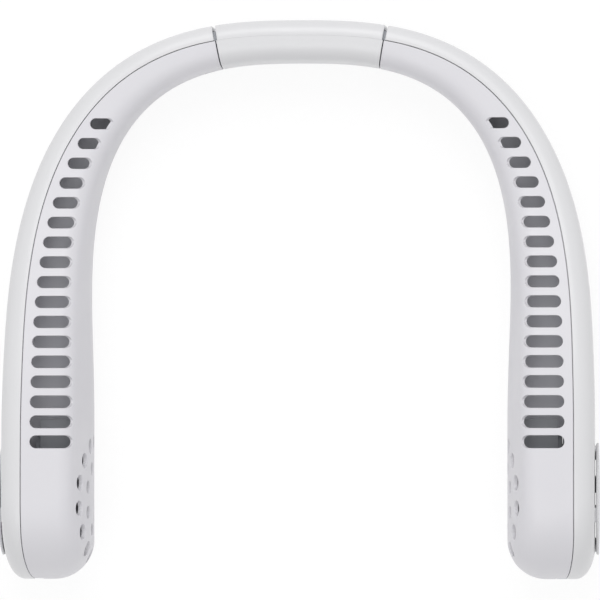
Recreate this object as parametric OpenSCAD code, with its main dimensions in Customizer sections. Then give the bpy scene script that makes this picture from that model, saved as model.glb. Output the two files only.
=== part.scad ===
// Electric neck fan, worn round the neck like a collar, lying on its back.
// The bridge is at +Y, the two blower pods are at -Y, and the seen front is +Z.
// All lengths are in millimetres.

/* [Band] */
// Overall length from the tip of the pods to the back of the bridge
overall_h = 187.1; // [175:0.1:200]
// Half the distance between the centre lines of the two straight sides
band_half_w = 83.9; // [80:0.1:92]
// Rise of the arched centre line above the straight sides
arch_rise = 104.5; // [98:0.1:110]
// Roundness of the arch, where 2 is an ellipse
arch_n = 2.75; // [2.5:0.05:3]
// Thickness of the band on the straight sides
arm_t = 29.2; // [28:0.1:32]
// Thickness of the band at the middle of the bridge
bridge_t = 14.2; // [13.6:0.1:16]
// Length below the bridge over which the band thickens
taper_len = 126.5; // [110:0.5:140]
// Bend of that taper, where 1 is straight
taper_n = 1.55; // [1.3:0.05:1.8]
// Radius of the round pods, which is half their depth
pod_r = 26.8; // [26.4:0.1:29]
// Depth of the band at the bridge
bridge_depth = 28.5; // [27.5:0.1:32]

/* [Shells] */
// Wall thickness of the four arm shells and the two bridge shells
wall = 1.6; // [1.4:0.1:1.8]
// Radius of the edges on the side that faces away from the neck
outer_edge_r = 6; // [5:0.1:6.5]
// Radius of the edges on the side that faces the neck
inner_edge_r = 6.5; // [5.5:0.1:7]
// Radius of the crown of the face that touches the neck
crown_r = 57; // [50:1:80]
// Distance of the shell seam from the outer face on the arms
seam_in_arm = 6.9; // [6.5:0.1:7.6]
// Distance of the shell seam from the outer face at the bridge
seam_in_bridge = 5.2; // [5:0.1:5.6]
// Gap between an inner shell and its outer shell
seam_gap = 0.2; // [0.1:0.05:0.4]
// Radius of the pod's lower corner on the neck side, seen from the front
tip_inner_r = 13; // [10:0.5:15]
// Width of the pod's lower corner on the outer side
tip_outer_w = 6.5; // [5:0.5:8]
// Height of the pod's lower corner on the outer side
tip_outer_h = 11; // [9:0.5:13]

/* [Air slots] */
// Number of air slots on each face of an arm
slot_count = 17; // [14:1:17]
// Distance between the middles of two slots
slot_pitch = 6.62; // [6.2:0.02:6.7]
// Height of the highest slot above the middle of the object
slot_top_y = 58.8; // [57:0.1:60]
// Width of the highest slot
slot_w_top = 3.7; // [3:0.1:4.2]
// Width of the lowest slot
slot_w_low = 4.3; // [3.6:0.1:4.6]
// Distance from the band's inner edge to the inner end of a slot
slot_inner_margin = 5.1; // [4.8:0.1:7]
// Distance from the seam to the outer end of a slot
slot_outer_margin = 3.1; // [2.6:0.1:3.6]

/* [Joints] */
// Angle of the joints between bridge and arms, from the middle of a straight side
joint_angle = 79.5; // [78.5:0.1:80.5]
// Gap of a joint outside its pin, where the sleeve shows
joint_gap_outer = 1; // [0.8:0.05:1.2]
// Gap of a joint on the neck side of its pin
joint_gap_inner = 0.35; // [0.3:0.05:0.5]
// Diameter of a hinge pin
pin_d = 1.6; // [1.4:0.1:1.8]
// Diameter of the hinge knuckles
knuckle_d = 3.6; // [3.4:0.1:3.8]
// Radial clearance of pins and shafts in their bores
bore_clear = 0.03; // [0.02:0.01:0.05]

/* [Intake] */
// Diameter of the round cover disc on the outside of a pod
disc_d = 37.5; // [36:0.1:39]
// Thickness of that disc
disc_t = 1.4; // [1.2:0.1:1.8]
// Gap between the disc and the outer shell
disc_gap = 0.45; // [0.35:0.05:0.6]
// Diameter of the recess under the disc
recess_d = 35; // [34:0.1:35.4]
// Depth of the recess under the disc
recess_depth = 1.2; // [1:0.1:1.4]
// Number of holes in the outer ring on the neck side
ring_hole_count = 14; // [12:1:16]
// Diameter of those holes
ring_hole_d = 5; // [4:0.1:5.4]
// Radius of the ring that they stand on
ring_hole_r = 19; // [18.6:0.1:19.5]
// Turn of that ring, which brings two of its holes to the front
ring_hole_turn = 5; // [0:0.5:12]
// Number of holes in the inner ring on the neck side
core_hole_count = 8; // [6:1:9]
// Diameter of those holes
core_hole_d = 4.2; // [3:0.1:4.6]
// Radius of the ring that they stand on
core_hole_r = 11; // [10.5:0.1:12]

/* [Blower] */
// Diameter of the impeller
impeller_d = 32; // [30:0.1:32.6]
// Width of the impeller along its axis
impeller_w = 8.6; // [8:0.1:9]
// Number of impeller blades
blade_count = 30; // [24:1:34]
// Running gap between impeller and housing
impeller_gap = 0.8; // [0.6:0.1:1]
// Wall thickness of the blower housing and the motor base
housing_wall = 1.2; // [1:0.1:1.3]
// Growth of the scroll's radius from its tongue to its outlet
scroll_growth = 2; // [1.4:0.1:2.2]
// Diameter of the motor shaft
shaft_d = 2; // [1.8:0.1:2.2]
// Outer diameter of the stator
stator_d = 12.4; // [11.6:0.1:13]
// Thickness of the magnet ring
magnet_t = 0.9; // [0.7:0.1:1]
// Thickness of the impeller's hub wall
hub_wall = 1; // [0.8:0.1:1.2]

/* [Electrics] */
// Thickness of the circuit boards
board_t = 1; // [0.8:0.1:1.2]
// Gap between motor base and circuit board
board_gap = 1.6; // [1.4:0.1:2]
// Thickness of the duct divider that holds the battery
divider_t = 10; // [9:0.1:10.5]
// Wall thickness of the duct divider
divider_wall = 1; // [0.8:0.1:1.2]
// Length of the battery cell
cell_l = 52; // [40:1:54]
// Diameter of the wire bundles
wire_d = 2; // [1.6:0.1:2.2]
// Length of the power button along the tip's rim
button_l = 9; // [8:0.1:10]
// Width of the power button
button_w = 4; // [3.4:0.1:4.2]
// Travel of the power button
button_travel = 0.6; // [0.4:0.05:0.7]
// Width of the charging socket's metal shell
port_w = 8.94; // [8.8:0.02:9]
// Height of the charging socket's metal shell
port_h = 3.26; // [3.2:0.02:3.3]
// Depth of the charging socket
port_l = 6; // [5.6:0.1:6.2]

/* [Hidden] */

// Overrun of every cut past the face that it opens
over = 1.5;
// Clearance between pieces that sit loosely in each other
seat_gap = 0.3;
// Clearance between pieces that are pressed or glued together
fit_gap = 0.05;

// Heights on the centre line: pod middle, start of the arch, top of the arch
tip_y = -overall_h / 2;
pod_y = tip_y + pod_r;
arch_top_y = overall_h / 2 - bridge_t / 2;
arch_y = arch_top_y - arch_rise;

// Smallest edge radius that an inset section keeps
least_r = wall / 4;
// Points in each rounded edge, and points across the crown
edge_steps = 3;
crown_steps = 4;
// Stations of an arm along the arch, the straight side and the tip
arch_steps = 12;
side_steps = 3;
// How much closer the stations stand towards the straight side
station_share = 1.3;
// Angles of the tip's stations round the pod's axis
tip_angles = [15, 30, 45, 58, 70, 80, 86];

// White, light grey and dark finishes
shell_white = "#e4e6ea";
tub_white = "#dcdfe4";
sleeve_grey = "#c9ccd2";
divider_grey = "#8d8f95";
plug_grey = "#a9acb1";
steel = "#b8bcc2";
board_green = "#2f5d46";

function lerp(a, b, s) = a + (b - a) * s;
function limit(v, lo, hi) = min(max(v, lo), hi);
function flip(list) = [for (i = [len(list) - 1 : -1 : 0]) list[i]];

// Point of the centre line whose outward normal stands at angle phi
function arch_share(phi) =
    1 / (1 + pow(tan(phi) * arch_rise / band_half_w, arch_n / (arch_n - 1)));
function arch_point(phi) = let (s = arch_share(min(phi, 89.9999)))
    [band_half_w * pow(s, 1 / arch_n), arch_y + arch_rise * pow(1 - s, 1 / arch_n)];
function centre(phi) =
    phi <= 90 ? arch_point(phi) : [-arch_point(180 - phi)[0], arch_point(180 - phi)[1]];
function normal(phi) = [cos(phi), sin(phi)];

// Thickness, depth and seam distance of the band at height y of its centre line
function taper(y) = pow(limit((y - arch_top_y) / taper_len + 1, 0, 1), taper_n);
function thickness(y) = lerp(arm_t, bridge_t, taper(y));
function rise_share(y) = limit((y - pod_y) / (overall_h / 2 - pod_y), 0, 1);
function depth(y) = lerp(bridge_depth, 2 * pod_r, (1 + cos(180 * rise_share(y))) / 2);
function seam_in(y) = lerp(seam_in_arm, seam_in_bridge, taper(y));

// Degrees of phi that a short length takes along the centre line at angle phi
function degrees_for(length, phi) =
    length / norm((centre(phi + 0.5) - centre(phi - 0.5)));

// A station is centre, normal, reach to the neck side, reach outwards, low and high z
function arch_station(phi, inset) = let (c = centre(phi), t = thickness(c[1]) / 2 - inset)
    [c, normal(phi), t, t, inset, depth(c[1]) - inset];
function side_station(y, inset) = let (t = thickness(y) / 2 - inset)
    [[band_half_w, y], [1, 0], t, t, inset, depth(y) - inset];
// Width that an elliptic corner takes away at a distance above the tip
function corner_cut(d, w, h) = d >= h ? 0 : w * (1 - sqrt(1 - pow(1 - d / h, 2)));
function tip_station(a, inset) = let (
        r = pod_r - inset,
        y = pod_y - r * sin(a),
        d = r * (1 - sin(a)),
        t = thickness(y) / 2 - inset,
        r_in = tip_inner_r - inset)
    [[band_half_w, y], [1, 0],
     t - corner_cut(d, r_in, r_in),
     t - corner_cut(d, tip_outer_w - inset, tip_outer_h - inset),
     pod_r - r * cos(a), pod_r + r * cos(a)];

function arm_stations(phi, inset) = concat(
    [for (i = [0 : arch_steps]) arch_station(phi * pow(1 - i / arch_steps, station_share), inset)],
    [for (i = [1 : side_steps]) side_station(lerp(arch_y, pod_y, i / side_steps), inset)],
    [for (a = tip_angles) tip_station(a, inset)]);

// Half sections in band coordinates, where u runs outwards and z runs to the front
function edge_r(s, r) = min(r, (s[5] - s[4]) * 0.49, (s[2] + s[3]) * 0.45);
function outer_half(s, inset) = let (
        widest = min(outer_edge_r, seam_in(s[0][1]) - seam_gap),
        r = edge_r(s, max(widest - inset, least_r)))
    concat(
        [for (i = [0 : edge_steps]) let (a = -90 + 90 * i / edge_steps)
            [s[3] - r + r * cos(a), s[4] + r + r * sin(a)]],
        [for (i = [0 : edge_steps]) let (a = 90 * i / edge_steps)
            [s[3] - r + r * cos(a), s[5] - r + r * sin(a)]]);
function inner_half(s, inset) = let (
        r = edge_r(s, max(inner_edge_r - inset, least_r)),
        crown = crown_r - inset,
        half = (s[5] - s[4]) / 2,
        mid = (s[5] + s[4]) / 2,
        reach = half - r * (1 - sin(atan((half - r) / crown))),
        lean = asin(reach / crown),
        u = crown * (1 - cos(lean)) - s[2] + r * cos(lean))
    concat(
        [for (i = [0 : edge_steps]) let (a = lerp(90, 180 - lean, i / edge_steps))
            [u + r * cos(a), s[5] - r + r * sin(a)]],
        [for (i = [1 : crown_steps - 1]) let (b = lean * (1 - 2 * i / crown_steps))
            [crown * (1 - cos(b)) - s[2], mid + crown * sin(b)]],
        [for (i = [0 : edge_steps]) let (a = lerp(180 + lean, 270, i / edge_steps))
            [u + r * cos(a), s[4] + r + r * sin(a)]]);

// Places a list of section points in space
function placed(s, points) =
    [for (p = points) [s[0][0] + p[0] * s[1][0], s[0][1] + p[0] * s[1][1], p[1]]];
function full_ring(s, inset) = placed(s, concat(outer_half(s, inset), inner_half(s, inset)));

// Solid through a list of rings of equal length, closed by its first and last ring.
// Seen the way that the list runs, each ring goes clockwise.
module loft(rings) {
    n = len(rings[0]);
    m = len(rings);
    polyhedron(
        points = [for (r = rings) each r],
        faces = concat(
            [[for (i = [0 : n - 1]) i]],
            [for (k = [0 : m - 2]) for (i = [0 : n - 1])
                [k * n + i, (k + 1) * n + i, (k + 1) * n + (i + 1) % n, k * n + (i + 1) % n]],
            [[for (i = [n - 1 : -1 : 0]) (m - 1) * n + i]]));
}

// Like loft, for rings that run out along one wall face and back along the other
module wall_loft(rings) {
    n = len(rings[0]);
    h = n / 2;
    m = len(rings);
    polyhedron(
        points = [for (r = rings) each r],
        faces = concat(
            [for (i = [0 : h - 2]) [i, i + 1, n - 2 - i, n - 1 - i]],
            [for (k = [0 : m - 2]) for (i = [0 : n - 1])
                [k * n + i, (k + 1) * n + i, (k + 1) * n + (i + 1) % n, k * n + (i + 1) % n]],
            [for (i = [0 : h - 2]) let (b = (m - 1) * n)
                [b + n - 1 - i, b + n - 2 - i, b + i + 1, b + i]]));
}

// Round bar through a list of points in space that lie in one plane of equal z
module wire(points, d) {
    n = len(points);
    loft([for (i = [0 : n - 1]) let (
            a = points[max(i - 1, 0)],
            b = points[min(i + 1, n - 1)],
            t = (b - a) / norm(b - a),
            side = [-t[1], t[0], 0])
        [for (k = [0 : wire_sides - 1]) let (w = 360 * k / wire_sides)
            points[i] + side * d / 2 * cos(w) + [0, 0, d / 2 * sin(w)]]]);
}
wire_sides = 8;

// Point at angle phi, a distance in from the band's outer face
function inset_point(phi, d) = let (c = centre(phi))
    c + normal(phi) * (thickness(c[1]) / 2 - d);

// Mirrors its children on to the left side
module on_side(left) {
    if (left) mirror([1, 0, 0]) children();
    else children();
}

// Turns its children so that their z axis runs along +X from the pod's middle
module on_pod(x) {
    translate([x, pod_y, pod_r]) rotate([90, 0, 90]) children();
}

// Seam line of an arm, seen from the front
seam_tip_w = tip_outer_w / 2;
seam_tip_h = 1.5 * tip_outer_h;
function seam_x(y) = band_half_w + thickness(y) / 2 - seam_in(y)
    - corner_cut(max(y - tip_y, 0), seam_tip_w, seam_tip_h);
function seam_line(phi, shift) = concat(
    [for (i = [-0.5 : arch_steps]) let (p = phi * pow(1 - i / arch_steps, station_share))
        inset_point(p, seam_in(centre(p)[1]) - shift)],
    [for (i = [0.5 : side_steps]) let (y = lerp(arch_y, pod_y, i / side_steps))
        [seam_x(y) + shift, y]],
    [for (a = [9 : 8 : 89]) let (y = pod_y - pod_r * sin(a)) [seam_x(y) + shift, y]]);

// Everything outside the seam line, as one thick plate
module outer_zone(phi, shift) {
    line = seam_line(phi, shift);
    far = [band_half_w + arm_t, overall_h];
    translate([0, 0, -over])
        linear_extrude(2 * pod_r + 2 * over)
            polygon(concat(
                [[line[0][0], far[1]]],
                line,
                [[line[len(line) - 1][0], tip_y - over], [far[0], tip_y - over], far]));
}

// Angle phi at which a line d from the outer face crosses height y, by halving
function line_y(phi, share, d) = let (c = centre(phi), t = thickness(c[1]))
    (c + normal(phi) * (t / 2 - share * t - d))[1];
function find_phi(y, share, d, lo, hi, n) = let (m = (lo + hi) / 2)
    n == 0 ? m :
    line_y(m, share, d) < y ? find_phi(y, share, d, m, hi, n - 1)
        : find_phi(y, share, d, lo, m, n - 1);
// Place across the band at height y, a distance in from its inner edge
function inner_line_x(y, d) = y <= arch_y ? band_half_w - thickness(y) / 2 + d :
    let (p = find_phi(y, 1, -d, 0, 90, 20), c = centre(p))
        (c - normal(p) * (thickness(c[1]) / 2 - d))[0];
// Place across the band at height y of its seam
function outer_seam_x(y) = y <= arch_y ? seam_x(y) :
    let (p = find_phi(y, 0, seam_in(y), 0, 90, 20), c = centre(p))
        (c + normal(p) * (thickness(c[1]) / 2 - seam_in(y)))[0];

// Air slots of one arm, on the front and the back face
slot_reach = 3 * wall;
module air_slots() {
    for (k = [0 : slot_count - 1]) {
        y = slot_top_y - k * slot_pitch;
        w = lerp(slot_w_top, slot_w_low, k / (slot_count - 1));
        x_in = inner_line_x(y, 0) + slot_inner_margin + w / 2;
        x_out = outer_seam_x(y) - slot_outer_margin - w / 2;
        for (z = [depth(y) - slot_reach, -over])
            hull()
                for (x = [x_in, x_out])
                    translate([x, y, z]) cylinder(d = w, h = slot_reach + over, $fn = 12);
    }
}

// Depth positions in the right pod, from the neck side outwards
face_in_x = band_half_w - arm_t / 2;
face_out_x = band_half_w + arm_t / 2;
scroll_r = impeller_d / 2 + impeller_gap;
house_r = scroll_r + scroll_growth + housing_wall;
// Radius of the screw bosses round the housing, and of the base that covers them
boss_r = 1.5;
base_r = house_r + 1.5 * boss_r;
function crown_drop(d) = (crown_r - wall) * (1 - cos(asin(d / (crown_r - wall))));
house_x = face_in_x + wall + crown_drop(house_r) + seat_gap;
impeller_x = house_x + housing_wall + impeller_gap;
base_x = impeller_x + impeller_w + impeller_gap;
board_x = base_x + housing_wall + board_gap;
pad_x = face_out_x - recess_depth - wall;

// Frame of the right joint: origin on the pin, x into the arm, y outwards
joint_mid = centre(joint_angle);
joint_t = thickness(joint_mid[1]);
joint_depth = depth(joint_mid[1]);
pin_in = seam_in_bridge;
pin_pos = inset_point(joint_angle, pin_in);
module at_joint() {
    translate([pin_pos[0], pin_pos[1], 0]) rotate([0, 0, joint_angle - 90]) children();
}

// Heights of the knuckles along the pin
knuckle_gap = 0.3;
bracket_share = 1.4;
frame_low_z = outer_edge_r - 2 * seat_gap;
knuckle_l = (joint_depth - 2 * (frame_low_z + knuckle_gap)) / (2 + bracket_share);
bracket_l = bracket_share * knuckle_l;
bracket_z = frame_low_z + knuckle_l + knuckle_gap;
frame_high_z = bracket_z + bracket_l + knuckle_gap;

// Case screw beside the joint, under its round plug
well_x = 1.35 * knuckle_d;
face_y = pin_in - joint_t;
plug_d = 4;
plug_t = 0.9;
screw_d = 1.8;
screw_head_d = 3.4;
screw_head_h = 1.2;
well_floor = 1;
well_y = face_y + plug_t + screw_head_h + fit_gap;
well_r = plug_d / 2 + well_floor;
web_t = knuckle_d / 2;
module along_screw(y) {
    at_joint() translate([well_x, y, joint_depth / 2]) rotate([-90, 0, 0]) children();
}

// Power button and charging socket at the tips
tip_feature_x = board_x - port_h / 2;
button_clear = 0.25;
button_flange = 0.6;
switch_l = 1.5 * button_w;
switch_h = 2.4;
switch_y = tip_y + wall + seat_gap + button_flange + button_travel + fit_gap;
plunger_d = button_w / 3;
module pill(l, w, h) {
    linear_extrude(h)
        union() {
            square([l - w, w], center = true);
            for (s = [-1, 1]) translate([s * (l - w) / 2, 0]) circle(d = w, $fn = 48);
        }
}
// Turns its children so that their x runs along Z and their z runs along +Y
module at_tip(y) {
    translate([tip_feature_x, y, pod_r]) rotate([0, -90, 0]) rotate([-90, 0, 0]) children();
}

// Light pipes of the battery gauge, beside the button on the tip's rim
pipe_d = 1.6;
pipe_l = wall + seat_gap;
pipe_angles = [22, 28, 34];
module at_pipes() {
    for (a = pipe_angles)
        translate([tip_feature_x, pod_y, pod_r]) rotate([90 + a, 0, 0]) children();
}

// Arm shells
module arm_body(phi) {
    difference() {
        loft([for (s = arm_stations(phi, 0)) full_ring(s, 0)]);
        loft([for (s = arm_stations(phi + degrees_for(over, phi), wall)) full_ring(s, wall)]);
    }
}

module inner_shell(left) {
    phi = joint_angle - degrees_for(joint_gap_inner / 2, joint_angle);
    color(tub_white) on_side(left)
        difference() {
            union() {
                difference() {
                    arm_body(phi);
                    outer_zone(phi + degrees_for(over, phi), -seam_gap / 2);
                }
                // Screw well behind the plug
                along_screw(face_y + wall / 2)
                    cylinder(r = well_r, h = well_y + well_floor - face_y - wall / 2, $fn = 24);
            }
            air_slots();
            along_screw(face_y - over)
                cylinder(d = plug_d + 2 * fit_gap, h = well_y - face_y + over, $fn = 24);
            along_screw(well_y - over)
                cylinder(d = screw_d + 4 * fit_gap, h = 2 * over + well_floor, $fn = 16);
            ring_of_holes(ring_hole_count, ring_hole_r, ring_hole_d, ring_hole_turn);
            ring_of_holes(core_hole_count, core_hole_r, core_hole_d);
            tip_openings(left);
        }
}

// Openings at the tips: the socket's on the left, the button's and the light pipes' on the right
module tip_openings(left) {
    if (left)
        at_tip(tip_y - over)
            pill(port_w + 2 * fit_gap, port_h + 2 * fit_gap, wall + 2 * over);
    else {
        at_tip(tip_y - over)
            pill(button_l + 2 * button_clear, button_w + 2 * button_clear, wall + 2 * over);
        at_pipes()
            translate([0, 0, pod_r - wall - over])
                cylinder(d = pipe_d, h = wall + 2 * over, $fn = 16);
    }
}

// Intake holes on the neck side of a pod, on either side of a line that is turned from the front
module ring_of_holes(count, r, d, turn = 0) {
    for (k = [0 : count - 1])
        on_pod(face_in_x - over)
            rotate([0, 0, 90 - turn + 360 * (k + 0.5) / count])
                translate([r, 0, 0])
                    cylinder(d = d, h = over + wall + crown_drop(r + d) + over, $fn = 12);
}

// Air openings in the outer shell, hidden under the disc
vent_count = 16;
vent_w = 2;
vent_in_r = 6;
vent_out_r = 12.5;
module outer_shell(left) {
    phi = joint_angle - degrees_for(joint_gap_outer / 2, joint_angle);
    color(shell_white) on_side(left)
        difference() {
            union() {
                intersection() {
                    arm_body(phi);
                    outer_zone(phi + degrees_for(over, phi), seam_gap / 2);
                }
                on_pod(pad_x) cylinder(d = recess_d + 2 * wall, h = recess_depth + wall / 2, $fn = 48);
            }
            on_pod(face_out_x - recess_depth)
                cylinder(d = recess_d, h = recess_depth + over, $fn = 48);
            for (k = [0 : vent_count - 1])
                on_pod(pad_x - over)
                    rotate([0, 0, 360 * k / vent_count])
                        hull()
                            for (r = [vent_in_r, vent_out_r])
                                translate([r, 0, 0])
                                    cylinder(d = vent_w, h = wall + 2 * over, $fn = 12);
            disc_seats();
            tip_openings(left);
        }
}

// Pegs that hold the disc, and the sockets that they sit in
peg_angle = 16;
peg_w = 5.3;
peg_in_r = 14.2;
peg_out_r = 18.1;
peg_pin_d = 1.8;
peg_pin_r = 15.4;
module disc_seats() {
    for (k = [0 : 3])
        on_pod(pad_x - over)
            rotate([0, 0, 90 - peg_angle - 90 * k])
                translate([peg_pin_r, 0, 0])
                    cylinder(d = peg_pin_d, h = wall + over + recess_depth, $fn = 24);
}

module intake_disc(left) {
    disc_r = disc_d / 2;
    dome_x = disc_t / 3;
    rim_r = disc_t / 2;
    color(shell_white) on_side(left) {
        on_pod(face_out_x + disc_gap)
            rotate_extrude($fn = 96)
                polygon(concat(
                    [[0, 0]],
                    [for (i = [0 : 6]) let (a = -90 + 90 * i / 6)
                        [disc_r - rim_r + rim_r * cos(a), rim_r * (1 + sin(a))]],
                    [for (i = [1 : 6]) let (a = 90 * i / 6)
                        [disc_r - rim_r * (1 - cos(a)), rim_r + (rim_r - dome_x) * sin(a)]],
                    [for (i = [1 : 8]) let (s = 1 - i / 8)
                        [(disc_r - rim_r) * s, disc_t - dome_x * s * s]]));
        for (k = [0 : 3]) {
            on_pod(face_out_x)
                rotate([0, 0, 90 - peg_angle - 90 * k])
                    translate([peg_in_r, -peg_w / 2, 0])
                        cube([peg_out_r - peg_in_r, peg_w, disc_gap]);
            on_pod(face_out_x - recess_depth)
                rotate([0, 0, 90 - peg_angle - 90 * k])
                    translate([peg_in_r, -peg_w / 2, 0])
                        cube([recess_d / 2 - fit_gap - peg_in_r - peg_w / 8, peg_w, recess_depth]);
            on_pod(pad_x)
                rotate([0, 0, 90 - peg_angle - 90 * k])
                    translate([peg_pin_r, 0, 0])
                        cylinder(d = peg_pin_d - 2 * fit_gap, h = wall, $fn = 24);
        }
    }
}

// Duct divider: a channel across the arm, open outwards, that also holds the battery cell
divider_phi = 62;
divider_low_y = pod_y + base_r + seat_gap;
function divider_lo(trim) = wall + crown_drop(divider_t / 2 + 2 * wall) + seat_gap + trim;
function divider_path(s, trim) = let (
        mid = (s[4] + s[5]) / 2,
        half = divider_t / 2 - trim,
        lo = divider_lo(trim) - s[2],
        hi = s[3] - seam_in(s[0][1]) - seat_gap)
    [[hi, mid + half], [lo, mid + half], [lo, mid - half], [hi, mid - half]];
function divider_ring(s) =
    placed(s, concat(divider_path(s, 0), flip(divider_path(s, divider_wall))));
// Tongues of its two plates beside the blower's base, which close the channel behind the last slot
tongue_x = base_x + housing_wall + seat_gap;
tongue_low_y = min(slot_top_y - (slot_count - 1) * slot_pitch - slot_w_low / 2 - 2 * seat_gap,
    divider_low_y - divider_wall);
tongue_z = depth(divider_low_y) / 2;
module duct_divider(left) {
    stations = concat(
        [for (i = [0 : arch_steps])
            arch_station(divider_phi * pow(1 - i / arch_steps, station_share), 0)],
        [side_station(lerp(arch_y, divider_low_y, 0.5), 0), side_station(divider_low_y, 0)]);
    color(divider_grey) on_side(left)
        union() {
            wall_loft([for (s = stations) divider_ring(s)]);
            for (z = [tongue_z - divider_t / 2, tongue_z + divider_t / 2 - divider_wall])
                translate([tongue_x, tongue_low_y, z])
                    cube([outer_seam_x(divider_low_y) - seat_gap - tongue_x,
                        divider_low_y + over - tongue_low_y, divider_wall]);
        }
}

// Battery cell, a flat box that leans with the divider
cell_low_y = divider_low_y + 2 * divider_wall;
cell_high_y = cell_low_y + cell_l;
cell_t = divider_t - 2 * divider_wall - 5 * seat_gap;
function mid_z(y) = depth(y) / 2;
cell_lean = atan((mid_z(cell_high_y) - mid_z(cell_low_y)) / cell_l);
cell_in_x = seat_gap
    + max(face_in_x + divider_lo(divider_wall), inner_line_x(cell_high_y, divider_lo(divider_wall)));
cell_out_x = outer_seam_x(cell_high_y) - 2 * seat_gap;
module battery(left) {
    color("#3d6fb0") on_side(left)
        translate([cell_in_x, cell_low_y, (mid_z(cell_low_y) + mid_z(cell_high_y)) / 2])
            translate([0, cell_l / 2, 0])
                rotate([cell_lean, 0, 0])
                    translate([0, -cell_l / 2, -cell_t / 2])
                        cube([cell_out_x - cell_in_x, cell_l, cell_t]);
}

// Blower housing: a scroll that opens towards the arm
scroll_from_angle = 35;
scroll_to_angle = 325;
scroll_step_angle = 10;
outlet_l = 12;
function scroll_point(a, grow) = let (
        s = (a - scroll_from_angle) / (scroll_to_angle - scroll_from_angle),
        r = scroll_r + scroll_growth * s + grow)
    [r * cos(a), r * sin(a)];
function scroll_line(grow) =
    [for (a = [scroll_from_angle : scroll_step_angle : scroll_to_angle]) scroll_point(a, grow)];
function boss_place(a) =
    norm(scroll_point(limit(a, scroll_from_angle, scroll_to_angle), housing_wall)) + boss_r / 2;
boss_h = 5;
boss_angles = [52, 130, 230, 308];
base_screw_d = 1.4;
module fan_housing(left) {
    line_in = scroll_line(0);
    line_out = scroll_line(housing_wall);
    color("#6f7278") on_side(left)
        difference() {
            union() {
                // Scroll wall with its straight outlet cheeks
                on_pod(house_x)
                    linear_extrude(base_x - house_x)
                        polygon(concat(
                            [line_in[0] + [outlet_l, 0]], line_in,
                            [line_in[len(line_in) - 1] + [outlet_l, 0],
                             line_out[len(line_out) - 1] + [outlet_l, 0]],
                            flip(line_out), [line_out[0] + [outlet_l, 0]]));
                // Floor with the round inlet
                on_pod(house_x)
                    linear_extrude(housing_wall)
                        difference() {
                            polygon(line_out);
                            circle(d = impeller_d * 0.8, $fn = 96);
                        }
                on_pod(base_x - boss_h)
                    for (a = boss_angles)
                        rotate([0, 0, a]) translate([boss_place(a), 0, 0])
                            cylinder(r = boss_r, h = boss_h, $fn = 24);
            }
            on_pod(base_x - boss_h / 2)
                for (a = boss_angles)
                    rotate([0, 0, a]) translate([boss_place(a), 0, 0])
                        cylinder(d = base_screw_d, h = boss_h, $fn = 24);
        }
}

// Motor base: the back plate of the housing, with the bearing tube
tube_r = 3;
tube_wall = 0.8;
bush_l = 6.4;
module motor_base(left) {
    color("#5f6268") on_side(left)
        difference() {
            union() {
                on_pod(base_x) cylinder(r = base_r, h = housing_wall, $fn = 96);
                on_pod(base_x - bush_l) cylinder(r = tube_r, h = bush_l + fit_gap, $fn = 48);
                on_pod(base_x)
                    for (a = [45, 135, 225, 315])
                        rotate([0, 0, a]) translate([0.75 * house_r, 0, 0])
                            cylinder(r = boss_r, h = housing_wall + board_gap, $fn = 24);
            }
            on_pod(base_x - bush_l - over)
                cylinder(r = tube_r - tube_wall, h = bush_l + over, $fn = 48);
            on_pod(base_x - over)
                for (a = boss_angles)
                    rotate([0, 0, a]) translate([boss_place(a), 0, 0])
                        cylinder(d = base_screw_d + 4 * fit_gap, h = housing_wall + 2 * over, $fn = 24);
            // Room for the switch or the socket at the tip
            notch_y = pod_y - base_r - over;
            translate([base_x - over, notch_y, pod_r - 0.8 * port_w])
                cube([housing_wall + 2 * over, tip_y + port_l + 2 * wall - notch_y, 1.6 * port_w]);
            // Way for the motor leads
            on_pod(base_x - over)
                translate([-0.5 * house_r, 0, 0])
                    cylinder(d = wire_d, h = housing_wall + 2 * over, $fn = 24);
        }
}

module stator(left) {
    color("#9a5f35") on_side(left)
        on_pod(base_x - bush_l * 0.9)
            linear_extrude(bush_l * 0.8)
                difference() {
                    circle(d = stator_d, $fn = 96);
                    circle(r = tube_r + fit_gap, $fn = 48);
                    for (k = [0 : 5])
                        rotate(60 * k) {
                            translate([stator_d * 0.38, 0]) circle(d = stator_d * 0.14, $fn = 24);
                            translate([stator_d * 0.38, -stator_d * 0.03])
                                square([stator_d * 0.2, stator_d * 0.06]);
                        }
                }
}

module bearing(left) {
    color("#a98a4e") on_side(left)
        on_pod(base_x - bush_l)
            difference() {
                cylinder(r = tube_r - tube_wall - bore_clear, h = bush_l, $fn = 48);
                translate([0, 0, -over])
                    cylinder(r = shaft_d / 2 + bore_clear, h = bush_l + 2 * over, $fn = 48);
            }
}

// Screws of one arm: the case screw and the four screws of the motor base
module case_screws(left) {
    color(steel) on_side(left) {
        along_screw(well_y - screw_head_h)
            difference() {
                union() {
                    cylinder(d = screw_head_d, h = screw_head_h, $fn = 48);
                    cylinder(d = screw_d, h = screw_head_h - well_y - web_t * 0.7, $fn = 32);
                }
                cross_drive(screw_head_d, screw_head_h);
            }
        for (a = boss_angles)
            on_pod(base_x + housing_wall + base_screw_d / 2)
                rotate([0, 0, a]) translate([boss_place(a), 0, 0]) rotate([180, 0, 0])
                    difference() {
                        union() {
                            cylinder(d = 2 * base_screw_d - 2 * fit_gap, h = base_screw_d / 2, $fn = 32);
                            cylinder(d = base_screw_d - 2 * fit_gap,
                                h = base_screw_d / 2 + housing_wall + boss_h / 2 - seat_gap, $fn = 32);
                        }
                        cross_drive(2 * base_screw_d, base_screw_d / 2);
                    }
    }
}

// Cross recess, cut down from the top of a head that starts at zero height
module cross_drive(d, h) {
    for (a = [0, 90])
        rotate([0, 0, a]) translate([-d * 0.3, -d * 0.07, -over])
            cube([d * 0.6, d * 0.14, over + h / 2]);
}

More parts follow.
